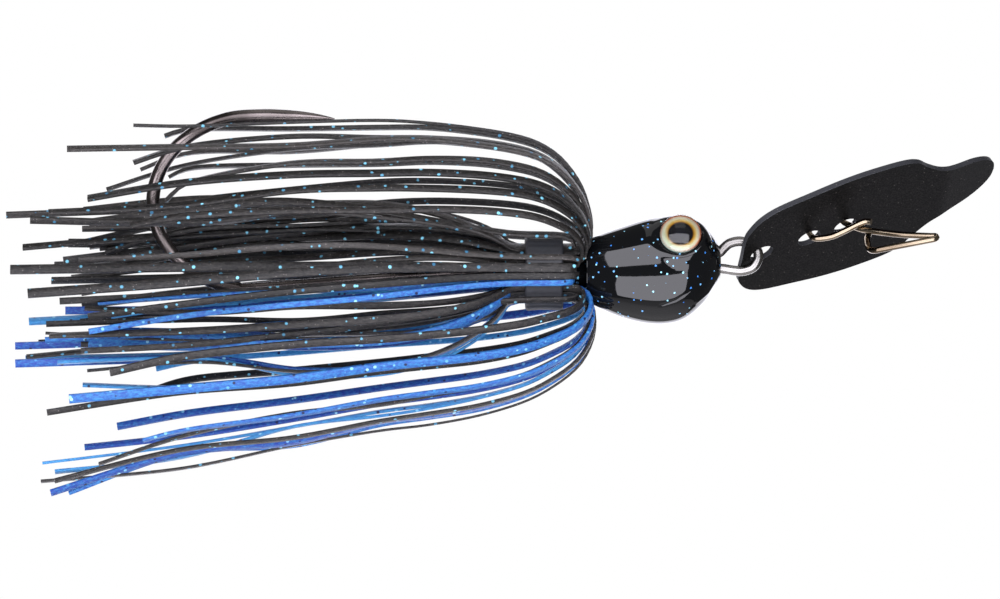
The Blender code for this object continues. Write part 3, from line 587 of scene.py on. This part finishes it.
def build_head(finish):
    """Cast lead head: a rounded-square section along the outline, eye seats, cast lines, barrel."""
    stations = smooth_route([
        (HEAD_NOSE_X - HEAD_LENGTH * along, HEAD_CENTRE_Z + HEAD_HEIGHT * above,
         HEAD_CENTRE_Z + HEAD_HEIGHT * below, HEAD_WIDTH / 2 * wide)
        for along, above, below, wide in HEAD_OUTLINE], 14)
    sides = 240
    work = bmesh.new()
    rings = [[work.verts.new(mm(stations[0][0], 0, (stations[0][1] + stations[0][2]) / 2))]]
    for x, top, bottom, half_width in stations[1:-1]:
        middle, half_height = (top + bottom) / 2, (top - bottom) / 2
        ring = []
        for step in range(sides):
            turn = math.tau * step / sides
            ring.append(work.verts.new(mm(
                x, half_width * squared(math.cos(turn)),
                middle + half_height * squared(math.sin(turn)))))
        rings.append(ring)
    rings.append([work.verts.new(mm(stations[-1][0], 0, (stations[-1][1] + stations[-1][2]) / 2))])
    skin_rings(work, rings)
    for _ in range(2):
        bmesh.ops.smooth_vert(work, verts=work.verts, factor=0.5, use_axis_x=True,
                              use_axis_y=True, use_axis_z=True)
    work.normal_update()

    eyes = eye_places()
    for vertex in work.verts:
        place, move = vertex.co.copy(), Vector((0, 0, 0))
        for centre, out in eyes.values():
            move += out * seat_lift(place - centre, out)
        for line, depth, width in HEAD_LINES:
            near = distance_to_line(place.x / MM, place.z / MM, line)
            if near < width * 3 and abs(place.y) > 0.4 * MM:
                move -= vertex.normal * depth * MM * math.exp(-(near / width) ** 2)
        vertex.co = place + move

    # the barrel behind the head, under the skirt
    skin_rings(work, [lathe_ring(work, mm(x, 0, SHAFT_Z), Vector((0, 1, 0)), Vector((0, 0, 1)),
                                 radius * MM, 32) for x, radius in BARREL])
    head = mesh_object("painted_head", plain_mesh("painted_head", work), finish)
    head.data.shade_smooth()
    put_on(head, "jig", "head_paint", "lead_head")


def build_eye(word, foil_finish, resin_finish):
    """The printed foil and the clear dome over it, both turned about the eye's own axis."""
    centre, out = eye_places()[word]
    across = Vector((1, 0, 0))
    upward = out.cross(across).normalized()
    if upward.z < 0:
        upward = -upward

    def turned(name, profile, finish, sharp):
        """Turn (radius, height) about the eye's axis, with the print laid flat across it."""
        work = bmesh.new()
        print_map = work.loops.layers.uv.new("print")
        skin_rings(work, [lathe_ring(work, centre + out * height * MM, across, upward, radius * MM, 64)
                          for radius, height in profile])
        for face in work.faces:
            for loop in face.loops:
                offset = (loop.vert.co - centre) / (2 * EYE_RADIUS * MM)
                loop[print_map].uv = (0.5 + offset.dot(across), 0.5 + offset.dot(upward))
        thing = mesh_object(name, plain_mesh(name, work), finish)
        thing.data.shade_smooth()
        thing.data.set_sharp_from_angle(angle=math.radians(sharp))
        return thing

    disc = [(0.0, FOIL_BACK), (EYE_RADIUS, FOIL_BACK), (EYE_RADIUS, FOIL_EDGE)]
    disc += [(EYE_RADIUS * share, FOIL_FACE) for share in (0.98, 0.8, 0.6, 0.4, 0.2, 0.0)]
    foil = turned(f"printed_eye_{word}", disc, foil_finish, 40)
    put_on(foil, "jig", "eye_foil", f"eye_foil_{word}")

    cap = [(0.0, DOME_BASE), (EYE_RADIUS, DOME_BASE), (EYE_RADIUS, DOME_WALL)]
    ball = (EYE_RADIUS ** 2 + DOME_RISE ** 2) / (2 * DOME_RISE)
    for step in range(1, 15):
        radius = EYE_RADIUS * (1 - (step / 14) ** 1.6)
        cap.append((radius, DOME_WALL + DOME_RISE - ball + math.sqrt(ball ** 2 - radius ** 2)))
    dome = turned(f"eye_resin_{word}", cap, resin_finish, 60)
    put_on(dome, "jig", "clear_resin", f"eye_dome_{word}")


# ---------------------------------------------------------------- wires

NOSE_WIRE_RADIUS, HOOK_RADIUS, SNAP_RADIUS = 0.57, 0.75, 0.35


def build_nose_wire(tree, finish):
    """The wire eye on the nose: its tail is hooked round the hook's eye inside the head."""
    # the eye's reach forward and half height, the head's nose, and how far the tail swings aside
    reach, rise, nose, swerve = 1.93, 1.63, HEAD_NOSE_X, 1.92
    points = [
        (-8.5, swerve, SHAFT_Z), (-8.5, 0, SHAFT_Z), (-8.4, -swerve * 0.72, SHAFT_Z),
        (-7.4, -swerve * 1.08, SHAFT_Z), (-6.15, -swerve * 0.9, SHAFT_Z + 0.1),
        (nose - 1.6, -swerve * 0.25, -rise + 0.15), (nose, 0, -rise + 0.25),
        (-0.9, 0, -rise + 0.05), (0.2, 0, -rise), (reach * 0.72, 0, -rise * 0.72), (reach, 0, 0),
        (reach * 0.74, 0, rise * 0.7), (0, 0, rise), (-1.2, 0, rise * 0.88),
        (nose + 0.45, 0, rise * 0.58), (nose - 0.2, 0, rise * 0.2), (nose - 1.5, 0, 0),
        (nose - 3.2, 0, rise * 0.35), (nose - 4.2, 0, rise * 0.85),
    ]
    route = even_route(smooth_route([(*mm(*place), 1.0) for place in points], 10), 0.18 * MM)
    wire = run_tree("nose_eye_wire", [route], tree, {
        "Wire Radius": NOSE_WIRE_RADIUS * MM, "Sides": 32, "Finish": finish})
    put_on(wire, "jig", "stainless_wire", "nose_wire")


def build_hook(tree, finish):
    """Forged jig hook: an eye inside the head, the shank, a round bend, and a point with its barb."""
    eye_x, eye_radius, gap, depth = -8.5, 1.6, 19.3, 11.35
    shank_end, low = eye_x - 45.5, SHAFT_Z - 1.8
    middle, top = low + gap / 2, low + gap
    points = []
    for step in range(13):
        turn = math.radians(130 - step * 26.5)
        points.append((eye_x + eye_radius * math.cos(turn), 0,
                       SHAFT_Z + eye_radius * math.sin(turn), 1.0))
    points += [(eye_x - eye_radius - 1.2, 0, SHAFT_Z, 1.0), (-26.0, 0, SHAFT_Z, 1.0),
               (-40.0, 0, SHAFT_Z - 0.75, 1.0), (shank_end, 0, low, 1.0)]
    for step in range(1, 18):
        turn = math.radians(270 - step * 10)
        points.append((shank_end + depth * math.cos(turn), 0,
                       middle + gap / 2 * math.sin(turn), 1.0))
    tip = shank_end - depth + 20.2
    points += [(shank_end + 1.0, 0, top, 1.0), (tip - 6.0, 0, top - 0.05, 1.0),
               (tip - 4.2, 0, top - 0.08, 0.86), (tip - 2.4, 0, top - 0.16, 0.62),
               (tip - 1.0, 0, top - 0.26, 0.34), (tip, 0, top - 0.35, 0.07)]
    points = [(*mm(x, y, z), size) for x, y, z, size in points]
    route = even_route(smooth_route(points, 8), 0.3 * MM)
    barb = even_route([Vector((*mm(tip - 6.6 - 2.5 * along, 0, top - 0.35 - 0.72 * along), size))
                       for along, size in ((0.0, 0.56), (0.35, 0.42), (0.7, 0.2), (1.0, 0.05))],
                      0.15 * MM)
    hook = run_tree("forged_hook", [route, barb], tree, {
        "Wire Radius": HOOK_RADIUS * MM, "Sides": 32, "Finish": finish})
    put_on(hook, "jig", "black_nickel", "jig_hook")


# ---------------------------------------------------------------- blade and snap

BLADE_LENGTH, BLADE_WIDTH, BLADE_THICKNESS = 31.7, 19.7, 0.6
BLADE_HOLES = (2.4, 8.25, 12.69)
BLADE_HOLE_RADIUS = 1.37
BLADE_CREASE, BLADE_CREASE_SPAN, BLADE_TIP_BEND = 25.05, 1.2, math.radians(9.4)
WALL_SHINE = 0.22                   # how much lighter steel colour the sheet's wall takes, partly a painted highlight; 1 on its eased edge
# Share of the length from the rear edge, and share of the half width.
BLADE_OUTLINE = [
    (0.000, 0.00), (0.000, 0.36), (0.012, 0.53), (0.050, 0.72), (0.114, 0.84), (0.237, 0.92),
    (0.347, 0.98), (0.457, 1.00), (0.587, 0.97), (0.650, 0.89), (0.697, 0.72), (0.754, 0.55),
    (0.820, 0.455), (0.902, 0.385), (0.959, 0.28), (0.991, 0.15), (1.000, 0.00),
]


def blade_place():
    """Turns and places what is built flat, its rear hole at the origin, as the blade hangs."""
    from_flat = (Matrix.Rotation(math.radians(17.56), 4, "Z")
                 @ Matrix.Rotation(math.radians(-17.34), 4, "Y")
                 @ Matrix.Rotation(math.radians(-33.1), 4, "X"))
    return Matrix.Translation(mm(2.17, 0, 0.5)) @ from_flat


def build_blade(finish):
    """Stamped sheet: an outline with three holes, a tip bent up at a crease, and eased edges."""
    half = smooth_route([(along * BLADE_LENGTH, wide * BLADE_WIDTH / 2)
                         for along, wide in BLADE_OUTLINE], 6)
    outline = half + [Vector((place.x, -place.y)) for place in reversed(half[1:-1])]
    curve = bpy.data.curves.new("blade_flat", "CURVE")
    curve.dimensions, curve.fill_mode = "2D", "BOTH"
    turns = [math.tau * step / 48 for step in range(48)]
    loops = [outline] + [[Vector((hole_x + BLADE_HOLE_RADIUS * math.cos(turn),
                                  BLADE_HOLE_RADIUS * math.sin(turn))) for turn in turns]
                         for hole_x in BLADE_HOLES]
    for loop in loops:
        spline = curve.splines.new("POLY")
        spline.use_cyclic_u = True
        spline.points.add(len(loop) - 1)
        for point, place in zip(spline.points, loop):
            point.co = (*mm(place.x - BLADE_HOLES[0], place.y, 0), 1)
    source = bpy.data.objects.new("blade_flat", curve)
    bpy.context.scene.collection.objects.link(source)
    blade = settled(source, "stamped_blade")
    work = bmesh.new()
    work.from_mesh(blade.data)
    bmesh.ops.remove_doubles(work, verts=work.verts, dist=1e-7)
    # rows of cuts across the crease, so that it bends over a small radius
    start = BLADE_CREASE - BLADE_HOLES[0] - BLADE_CREASE_SPAN / 2
    for step in range(9):
        bmesh.ops.bisect_plane(work, geom=work.verts[:] + work.edges[:] + work.faces[:], dist=1e-7,
                               plane_co=mm(start + BLADE_CREASE_SPAN * step / 8, 0, 0),
                               plane_no=(1, 0, 0))
    arc = BLADE_CREASE_SPAN / BLADE_TIP_BEND
    for vertex in work.verts:
        along = vertex.co.x / MM - start
        if along > 0:
            angle = BLADE_TIP_BEND * min(along / BLADE_CREASE_SPAN, 1.0)
            beyond = max(along - BLADE_CREASE_SPAN, 0.0)
            vertex.co = mm(start + arc * math.sin(angle) + beyond * math.cos(angle),
                           vertex.co.y / MM,
                           arc * (1 - math.cos(angle)) + beyond * math.sin(angle))
    work.to_mesh(blade.data)
    work.free()
    blade.data.materials.append(finish)
    wall = blade.modifiers.new("sheet", "SOLIDIFY")
    wall.thickness, wall.offset = BLADE_THICKNESS * MM, 0.0
    eased = blade.modifiers.new("stamped_edge", "BEVEL")
    eased.width, eased.segments = 0.09 * MM, 2
    eased.limit_method, eased.angle_limit = "ANGLE", math.radians(50)
    blade.matrix_world = blade_place()
    blade = settled(blade, "stamped_blade")
    blade.data.shade_smooth()
    blade.data.set_sharp_from_angle(angle=math.radians(15))
    level = blade_place().to_3x3() @ Vector((0, 0, 1))
    edge = blade.data.attributes.new("stamped_edge", "FLOAT", "FACE")
    flatness = [abs(face.normal.dot(level)) for face in blade.data.polygons]
    # the eased edge and the sheet's wall get lighter steel, partly a painted highlight along the edge
    edge.data.foreach_set("value", [
        WALL_SHINE if flat < 0.3 else float(flat < 0.93) for flat in flatness])
    put_on(blade, "blade", "blade_coating", "blade")


def build_snap(tree, finish):
    """One spring wire through the blade's two middle holes, with a latched lobe at each end."""
    first, second = [hole_x - BLADE_HOLES[0] for hole_x in BLADE_HOLES[1:]]
    step = 0.8
    # (along the blade, to the side, down from the run behind the holes)
    points = [
        (second + 1.9, -step * 1.15, 4.1), (second + 1.15, -step * 1.1, 3.55),
        (second - 1.2, -step * 0.5, 3.35), (first + 1.8, 0, 2.95), (first + 0.35, 0, 2.4),
        (first + 0.05, 0, 1.5), (first + 0.35, 0, 0.25), (first + 1.2, 0, 0),
        (second - 1.2, 0, 0), (second - 0.3, 0, 0.25), (second, 0, 1.3), (second + 0.5, 0, 2.6),
        (second + 1.3, 0, 4.0), (second + 3.9, 0, 6.9), (second + 6.5, 0, 9.1),
        (second + 7.15, 0, 9.6), (second + 6.9, 0.05, 10.0), (second + 5.9, 0.05, 9.8),
        (second + 1.5, 0.35, 8.2), (second + 0.5, 0.6, 7.5), (second + 0.35, step, 6.4),
        (second + 1.1, step * 1.15, 4.3), (second + 1.7, step * 1.1, 3.5),
    ]
    behind = BLADE_THICKNESS / 2 + 0.15 + SNAP_RADIUS
    swing = (blade_place() @ Matrix.Translation(mm(0, 0, behind))
             @ Matrix.Rotation(math.radians(-30), 4, "X"))
    route = [Vector((*(swing @ mm(along, side, -down)), 1.0)) for along, side, down in points]
    route = even_route(smooth_route(route, 10), 0.16 * MM)
    snap = run_tree("spring_snap", [route], tree, {
        "Wire Radius": SNAP_RADIUS * MM, "Sides": 24, "Finish": finish})
    put_on(snap, "snap", "snap_wire", "line_snap")


# ---------------------------------------------------------------- collar and skirt

COLLAR_FRONT, COLLAR_REAR, COLLAR_RADIUS, COLLAR_BORE = -19.8, -24.0, 4.2, 3.6


def build_collar(finish):
    """A rubber band stretched over the strands, which show through it as low ridges."""
    work = bmesh.new()
    # (in from the end, radius), up the end face and over its eased edge
    rim = [(0.0, COLLAR_BORE), (0.02, COLLAR_RADIUS - 0.18), (0.14, COLLAR_RADIUS - 0.05)]
    span = COLLAR_FRONT - COLLAR_REAR - 0.6
    profile = [(COLLAR_FRONT - inset, radius) for inset, radius in rim]
    profile += [(COLLAR_FRONT - 0.3 - span * step / 8, COLLAR_RADIUS) for step in range(9)]
    profile += [(COLLAR_REAR + inset, radius) for inset, radius in reversed(rim)]
    steps = 160
    rings = []
    for x, radius in profile:
        waist = -0.1 * math.sin(math.pi * (x - COLLAR_REAR) / (COLLAR_FRONT - COLLAR_REAR))
        ring = []
        for step in range(steps):
            turn = math.tau * step / steps
            ridge = 0.035 * math.sin(13 * turn) + 0.02 * math.sin(29 * turn + 2.0)
            reach = radius + (ridge + waist if radius > COLLAR_BORE else 0.0)
            shift = 0.05 * math.sin(3 * turn + 0.7)
            ring.append(work.verts.new(mm(
                x + shift, reach * math.cos(turn), SHAFT_Z + reach * math.sin(turn))))
        rings.append(ring)
    skin_rings(work, rings, closed=True)
    collar = mesh_object("rubber_collar", plain_mesh("rubber_collar", work), finish)
    collar.data.shade_smooth()
    collar.data.set_sharp_from_angle(angle=math.radians(50))
    put_on(collar, "jig", "collar_rubber", "skirt_collar")


# The outermost loops' routes behind the head, as (x, radius about the collar's axis) in mm, over
# the top and under the bottom of the skirt.
TOP_LOOP = [
    (-16.7, 4.5), (-16.8, 6.7), (-17.8, 9.8), (-19.8, 12.6), (-22.1, 14.3), (-24.9, 15.3),
    (-29.2, 16.1), (-34.8, 16.7), (-40.5, 16.9), (-50.0, 17.1), (-62.0, 16.9), (-74.0, 16.5),
]
BOTTOM_LOOP = [
    (-16.4, 4.2), (-16.2, 5.9), (-16.7, 8.1), (-18.1, 10.4), (-20.7, 12.5), (-24.1, 14.3),
    (-29.2, 15.8), (-34.8, 16.9), (-40.5, 17.8), (-50.0, 19.2), (-62.0, 21.4), (-74.0, 23.7),
]
# The same for the strands that lie close along the collar's sides, and for every strand's inner run.
SIDE_LOOP = [
    (-17.9, 3.75), (-18.3, 4.25), (-19.6, 4.62), (-24.2, 4.75), (-27.0, 5.1), (-31.0, 6.0),
    (-36.0, 7.4), (-43.0, 8.9), (-52.0, 9.6), (-62.0, 9.9), (-74.0, 10.0),
]
INNER_RUN = [
    (-25.6, 3.3), (-27.2, 4.7), (-30.0, 6.2), (-34.0, 7.6), (-40.0, 8.7), (-49.0, 9.0),
    (-60.0, 9.0), (-74.0, 8.8),
]

LOOPS = {"top": TOP_LOOP, "bottom": BOTTOM_LOOP, "side": SIDE_LOOP}
# How far back the outer ends reach, and how much of the inner run's swell a strand may take.
OUTER_ENDS = {"top": (-78, -63), "bottom": (-78, -65), "side": (-82, -71)}
INNER_SWELLS = {"top": (0.42, 1.0), "bottom": (0.5, 1.8), "side": (0.42, 1.0)}
TRIM_FROM, LOOP_END = -60, -74      # behind the first, a route is stretched to its own end
STRIP_WIDTH, STRIP_THICKNESS, STRIP_EDGE = 0.82, 0.36, 0.05
HOOK_CLEARANCE = 1.9                # how far beside the mid-plane a strand passes the hook's bend

# Degrees from straight up, towards the near side; then the share of the outermost loop's size,
# whether the strand is blue, and how far its end drops, in mm.
TOP_STRANDS = [
    (5, 1.0, 0, 0.6), (-14, 1.0, 0, 1.2), (20, 0.97, 0, 2.6), (-27, 1.0, 0, 3.4),
    (28, 1.0, 0, 1.6), (36, 0.96, 0, 4.4), (-38, 0.97, 0, 2.2), (-48, 0.95, 0, 4.0),
    (46, 0.97, 0, 3.2), (52, 0.93, 0, 2.4), (-57, 0.92, 0, 4.6), (-8, 0.9, 0, 5.2),
    (60, 0.86, 0, 1.4),
]
BOTTOM_STRANDS = [
    (180, 1.0, 0, 0.0), (192, 0.98, 1, 0.4), (168, 0.96, 1, 0.9), (200, 0.93, 1, 1.0),
    (160, 0.99, 0, 0.6), (211, 0.96, 1, 0.5), (152, 0.9, 0, 1.6), (220, 0.94, 1, 1.3),
    (145, 0.97, 1, 0.3), (231, 0.88, 0, 0.9), (136, 0.86, 0, 1.2), (240, 0.92, 1, 0.6),
    (129, 0.93, 1, 0.8), (119, 0.82, 0, 1.4), (248, 0.85, 1, 0.9), (185, 0.88, 1, 2.0),
]
SIDE_STRANDS = [
    (30, 0.95, 0, 2.2), (68, 1.0, 0, 3.0), (83, 1.04, 0, 3.4), (103, 1.0, 1, 3.9),
    (129, 1.0, 0, 2.7), (-34, 0.95, 0, 2.6), (-70, 1.0, 0, 2.8), (-88, 1.05, 0, 3.8),
    (-106, 1.0, 1, 3.2), (-127, 1.0, 0, 2.9), (94, 1.25, 0, 4.2),
]


def clamp(value):
    """A value held between 0 and 1."""
    return min(max(value, 0.0), 1.0)


def trimmed(x, end):
    """Where a route's point moves to along the skirt, so that the route ends at end."""
    if x > TRIM_FROM:
        return x
    return TRIM_FROM + (x - TRIM_FROM) * (end - TRIM_FROM) / (LOOP_END - TRIM_FROM)


def strand_half_plane(number, kind, share, chance):
    """The strand's route in its own half plane, as (x, radius, loose) from inner end to outer.

    loose is 0 under the collar and 1 at the free ends.
    """
    layer = number % 3
    held = 2.15 + 0.5 * layer
    swell = chance.uniform(*INNER_SWELLS[kind])
    fan = chance.uniform(-0.75, 0.55)
    inner_end = chance.uniform(-82.0, -70.0)
    outer_end = chance.uniform(*OUTER_ENDS[kind])
    inner = []
    for x, radius in reversed(INNER_RUN):
        loose = clamp((-24.5 - x) / 50.0)
        inner.append((trimmed(x, inner_end), held + (radius - 3.0) * swell * (1 + fan * loose), loose))
    under = [(-24.4, held, 0.0), (-22.0, held, 0.0), (-19.8, held, 0.0)]
    lag = (1 - share) * 7.0 if kind != "side" else 0.35 * layer
    if kind == "side":
        fold = [(-18.5 - lag, held + 0.05, 0.0), (-18.0 - lag * 0.6, held + (3.75 - held) * 0.5, 0.0)]
    else:
        fold = [(-18.6, held + 0.05, 0.0), (-17.4 - lag * 0.5, held + 0.55, 0.0)]
    outer = []
    for x, radius in LOOPS[kind]:
        if kind == "side":
            grown = radius + max(radius - 4.6, 0.0) * (share - 1) + 0.12 * layer
        else:
            grown = radius * (1 + (share - 1) * clamp((radius - COLLAR_RADIUS) / 8.0))
        outer.append((trimmed(x, outer_end) - lag * clamp((x + 30) / 12.0), grown,
                      clamp((-26.0 - x) / 50.0)))
    return inner, under + fold, outer


def lay_strand(number, kind, degrees, share, drop, rng):
    """A whole strand in space: 4-value points and the direction of its flat side at each."""
    inner, middle, outer = strand_half_plane(number, kind, share, rng)
    angle = math.radians(degrees)
    # run is -1 for the inner end, 0 where the collar holds the strand, and 1 for the outer end
    runs = [(*place, run) for run, part in ((-1, inner), (0, middle), (1, outer)) for place in part]
    inner_fan = rng.uniform(-0.25, 0.25)
    outer_fan = rng.uniform(-0.05, 0.05)
    wave = [(rng.uniform(0, math.tau), rng.uniform(24, 44), rng.uniform(0.3, 1.0)) for _ in range(4)]
    inner_drop = rng.uniform(0.5, 3.5)
    out = []
    for x, radius, loose, run in runs:
        turn = angle + (inner_fan * loose * 1.5 if run < 0 else outer_fan * loose)
        phase = [math.sin(math.tau * -x / length + start) * size for start, length, size in wave]
        first = 0 if run < 0 else 2
        radius += phase[first] * loose * 1.3
        y = -math.sin(turn) * radius * (0.88 if abs(run) else 1.0)
        z = SHAFT_Z + math.cos(turn) * radius
        y += phase[first + 1] * loose * 1.2
        z -= (inner_drop if run < 0 else drop) * loose ** 1.6
        # strands part round the hook, whose bend stands in the mid-plane
        near_hook = clamp((-30.0 - x) / 20.0) * clamp((z + 7.0) / 3.0)
        beside = 1.0 if kind == "top" and run < 0 else math.copysign(1.0, y)
        y += (beside * math.hypot(y, HOOK_CLEARANCE) - y) * near_hook
        out.append(Vector((*mm(x, y, z), loose if run < 0 else -loose)))
    route = even_route(smooth_route(out, 8), 1.0 * MM)
    twist_in = rng.uniform(-1.7, 1.7)
    twist_out = rng.uniform(-1.3, 1.3) * (1.0 if kind == "side" else 0.5)
    around = Vector((0, -math.cos(angle), -math.sin(angle)))
    facings, points = [], []
    for index, place in enumerate(route):
        ahead = route[min(index + 1, len(route) - 1)].xyz - route[max(index - 1, 0)].xyz
        flat = ahead.cross(around).normalized()
        twist = twist_in * max(place.w, 0.0) + twist_out * max(-place.w, 0.0)
        facings.append(Matrix.Rotation(twist, 3, ahead.normalized()) @ flat)
        points.append(Vector((*place.xyz, 1.0)))
    return points, facings


def build_skirt(tree, black_finish, blue_finish):
    """Forty strips, each held by its middle under the collar and folded back over itself."""
    plan = [(kind, *entry) for kind, strands in (
        ("top", TOP_STRANDS), ("bottom", BOTTOM_STRANDS), ("side", SIDE_STRANDS)) for entry in strands]
    batches = {0: ([], [], []), 1: ([], [], [])}
    for number, (kind, degrees, share, blue, drop) in enumerate(plan):
        rng = random.Random(100 + number)
        points, facings = lay_strand(number, kind, degrees, share, drop, rng)
        routes, sides, marks = batches[blue]
        routes.append(points)
        sides.append(facings)
        marks.append((number, rng.choice((0.0, 0.1, 0.3, 0.75) if blue else (0.0, 0.1, 0.25, 0.5))))
    nodes = [f"skirt_strand_{number:02d}" for number in range(1, 37)]
    blue_nodes = nodes[19:34:2]
    black_nodes = [node for node in nodes if node not in blue_nodes]
    for blue, name, finish, slot, nodes in (
            (0, "black_skirt_strips", black_finish, "silicone_black", black_nodes),
            (1, "blue_skirt_strips", blue_finish, "silicone_blue", blue_nodes)):
        routes, sides, marks = batches[blue]
        strips = run_tree(name, routes, tree, {
            "Width": STRIP_WIDTH * MM, "Thickness": STRIP_THICKNESS * MM,
            "Edge Radius": STRIP_EDGE * MM, "Width Variation": 0.28, "Seed": 5,
            "Finish": finish}, sides, marks)
        put_on(strips, "jig", slot, *nodes)


# ---------------------------------------------------------------- studio, in metres

MIDDLE = (-0.012, 0.0, -0.002)      # where the lights aim
VIEW_CENTRE, VIEW_WIDTH = (-0.02678, -0.00483), 0.11111
LENS, SENSOR = 400.0, 36.0          # in mm: a long lens, for a flat side view


def build_floor():
    """Matt white paper well below the lure, pale enough to stay out of its reflections."""
    work = bmesh.new()
    bmesh.ops.create_circle(work, cap_ends=True, segments=96, radius=0.45)
    bmesh.ops.translate(work, verts=work.verts, vec=(-0.027, 0, -0.42))
    finish, tree, shader = new_finish("matt_white_paper")
    place = add(tree, "ShaderNodeTexCoord").outputs["Object"]
    fibre = add(tree, "ShaderNodeTexNoise", {"Vector": place, "Scale": per(11.1), "Detail": 3.0})
    colour = add(tree, "ShaderNodeMix", {0: fibre.outputs[0], 6: srgb("#eceae6"), 7: srgb("#f4f3f0")},
                 data_type="RGBA")
    tree.links.new(colour.outputs[2], shader.inputs["Base Color"])
    shader.inputs["Roughness"].default_value = 0.8
    mesh_object("floor", plain_mesh("floor", work), finish)


def softbox(name, place, size, power, colour):
    """A rectangular soft light that aims at the lure."""
    light = bpy.data.lights.new(name, "AREA")
    light.shape = "RECTANGLE"
    light.size, light.size_y = size
    light.energy = power
    light.color = srgb(colour)[:3]
    lamp = bpy.data.objects.new(name, light)
    bpy.context.scene.collection.objects.link(lamp)
    lamp.location = place
    lamp.rotation_euler = (Vector(MIDDLE) - Vector(place)).to_track_quat("-Z", "Y").to_euler()


def build_studio():
    """A white surround to the eye and a dim room to everything else, five softboxes, the camera."""
    scene = bpy.context.scene
    scene.view_settings.view_transform = "Standard"
    world = bpy.data.worlds.new("studio")
    scene.world = world
    world.use_nodes = True
    tree = world.node_tree
    tree.nodes.clear()
    seen = add(tree, "ShaderNodeLightPath")
    room = add(tree, "ShaderNodeBackground", {"Color": srgb("#ffffff"), "Strength": 0.12})
    paper = add(tree, "ShaderNodeBackground", {"Color": srgb("#ffffff"), "Strength": 1.0})
    both = add(tree, "ShaderNodeMixShader", {
        0: seen.outputs["Is Camera Ray"], 1: room.outputs[0], 2: paper.outputs[0]})
    add(tree, "ShaderNodeOutputWorld", {"Surface": both.outputs[0]})

    for side, word, share in ((-1, "near", 1.0), (1, "far", 0.55)):
        softbox(f"upper_{word}", (-0.05, side * 0.417, 0.169), (0.64, 0.29), 2.6 * share, "#f6f5ff")
        softbox(f"lower_{word}", (-0.02, side * 0.367, -0.16), (0.56, 0.3), 2.4 * share, "#f6f5ff")
    softbox("overhead", (-0.02, 0.0, 0.55), (0.6, 0.3), 0.4, "#ffffff")

    camera = bpy.data.cameras.new("camera")
    camera.lens, camera.sensor_width = LENS, SENSOR
    camera.clip_start, camera.clip_end = 0.05, 20.0
    seat = bpy.data.objects.new("camera", camera)
    scene.collection.objects.link(seat)
    seat.location = (VIEW_CENTRE[0], -VIEW_WIDTH * LENS / SENSOR, VIEW_CENTRE[1])
    seat.rotation_euler = (math.radians(90), 0, 0)
    scene.camera = seat


# ---------------------------------------------------------------- put together

wire_tree, strip_tree = drawn_wire_tree(), cut_strip_tree()
foil_finish, resin_finish = printed_eye_foil(), clear_dome_resin()

build_head(gloss_head_enamel())
for word in ("left", "right"):
    build_eye(word, foil_finish, resin_finish)
# bare stainless: pale and cool, with a broad bright streak
build_nose_wire(wire_tree, drawn_metal("drawn_stainless_wire", "#9c9a97", "#6c6966", 0.25, 1.11))
# black nickel plating: a warm dark grey that still mirrors
build_hook(wire_tree, drawn_metal("black_nickel_plated_steel", "#7a7270", "#403b39", 0.25, 1.43))
build_blade(blade_coating())
# bronzed spring wire: thin and glossy, straw-coloured lights and brown darks
build_snap(wire_tree, drawn_metal("bronzed_spring_wire", "#9a8c78", "#4c3c2c", 0.14, 1.25))
build_collar(collar_rubber())
build_skirt(
    strip_tree,
    # near-black, dusted grey, with pale blue flakes
    flake_silicone("black_glitter_silicone", "#0b0a09", "#45413e", "#86d8f0", "#2f6f96",
                   "#77726e", 0.07, 0.35),
    # royal blue to sky blue, with pale flakes and dark flecks
    flake_silicone("blue_glitter_silicone", "#1c3f9c", "#3f96d0", "#a9e6f4", "#3f9ad8",
                   "#0c1444", 0.2, 0.65),
)
build_floor()
build_studio()
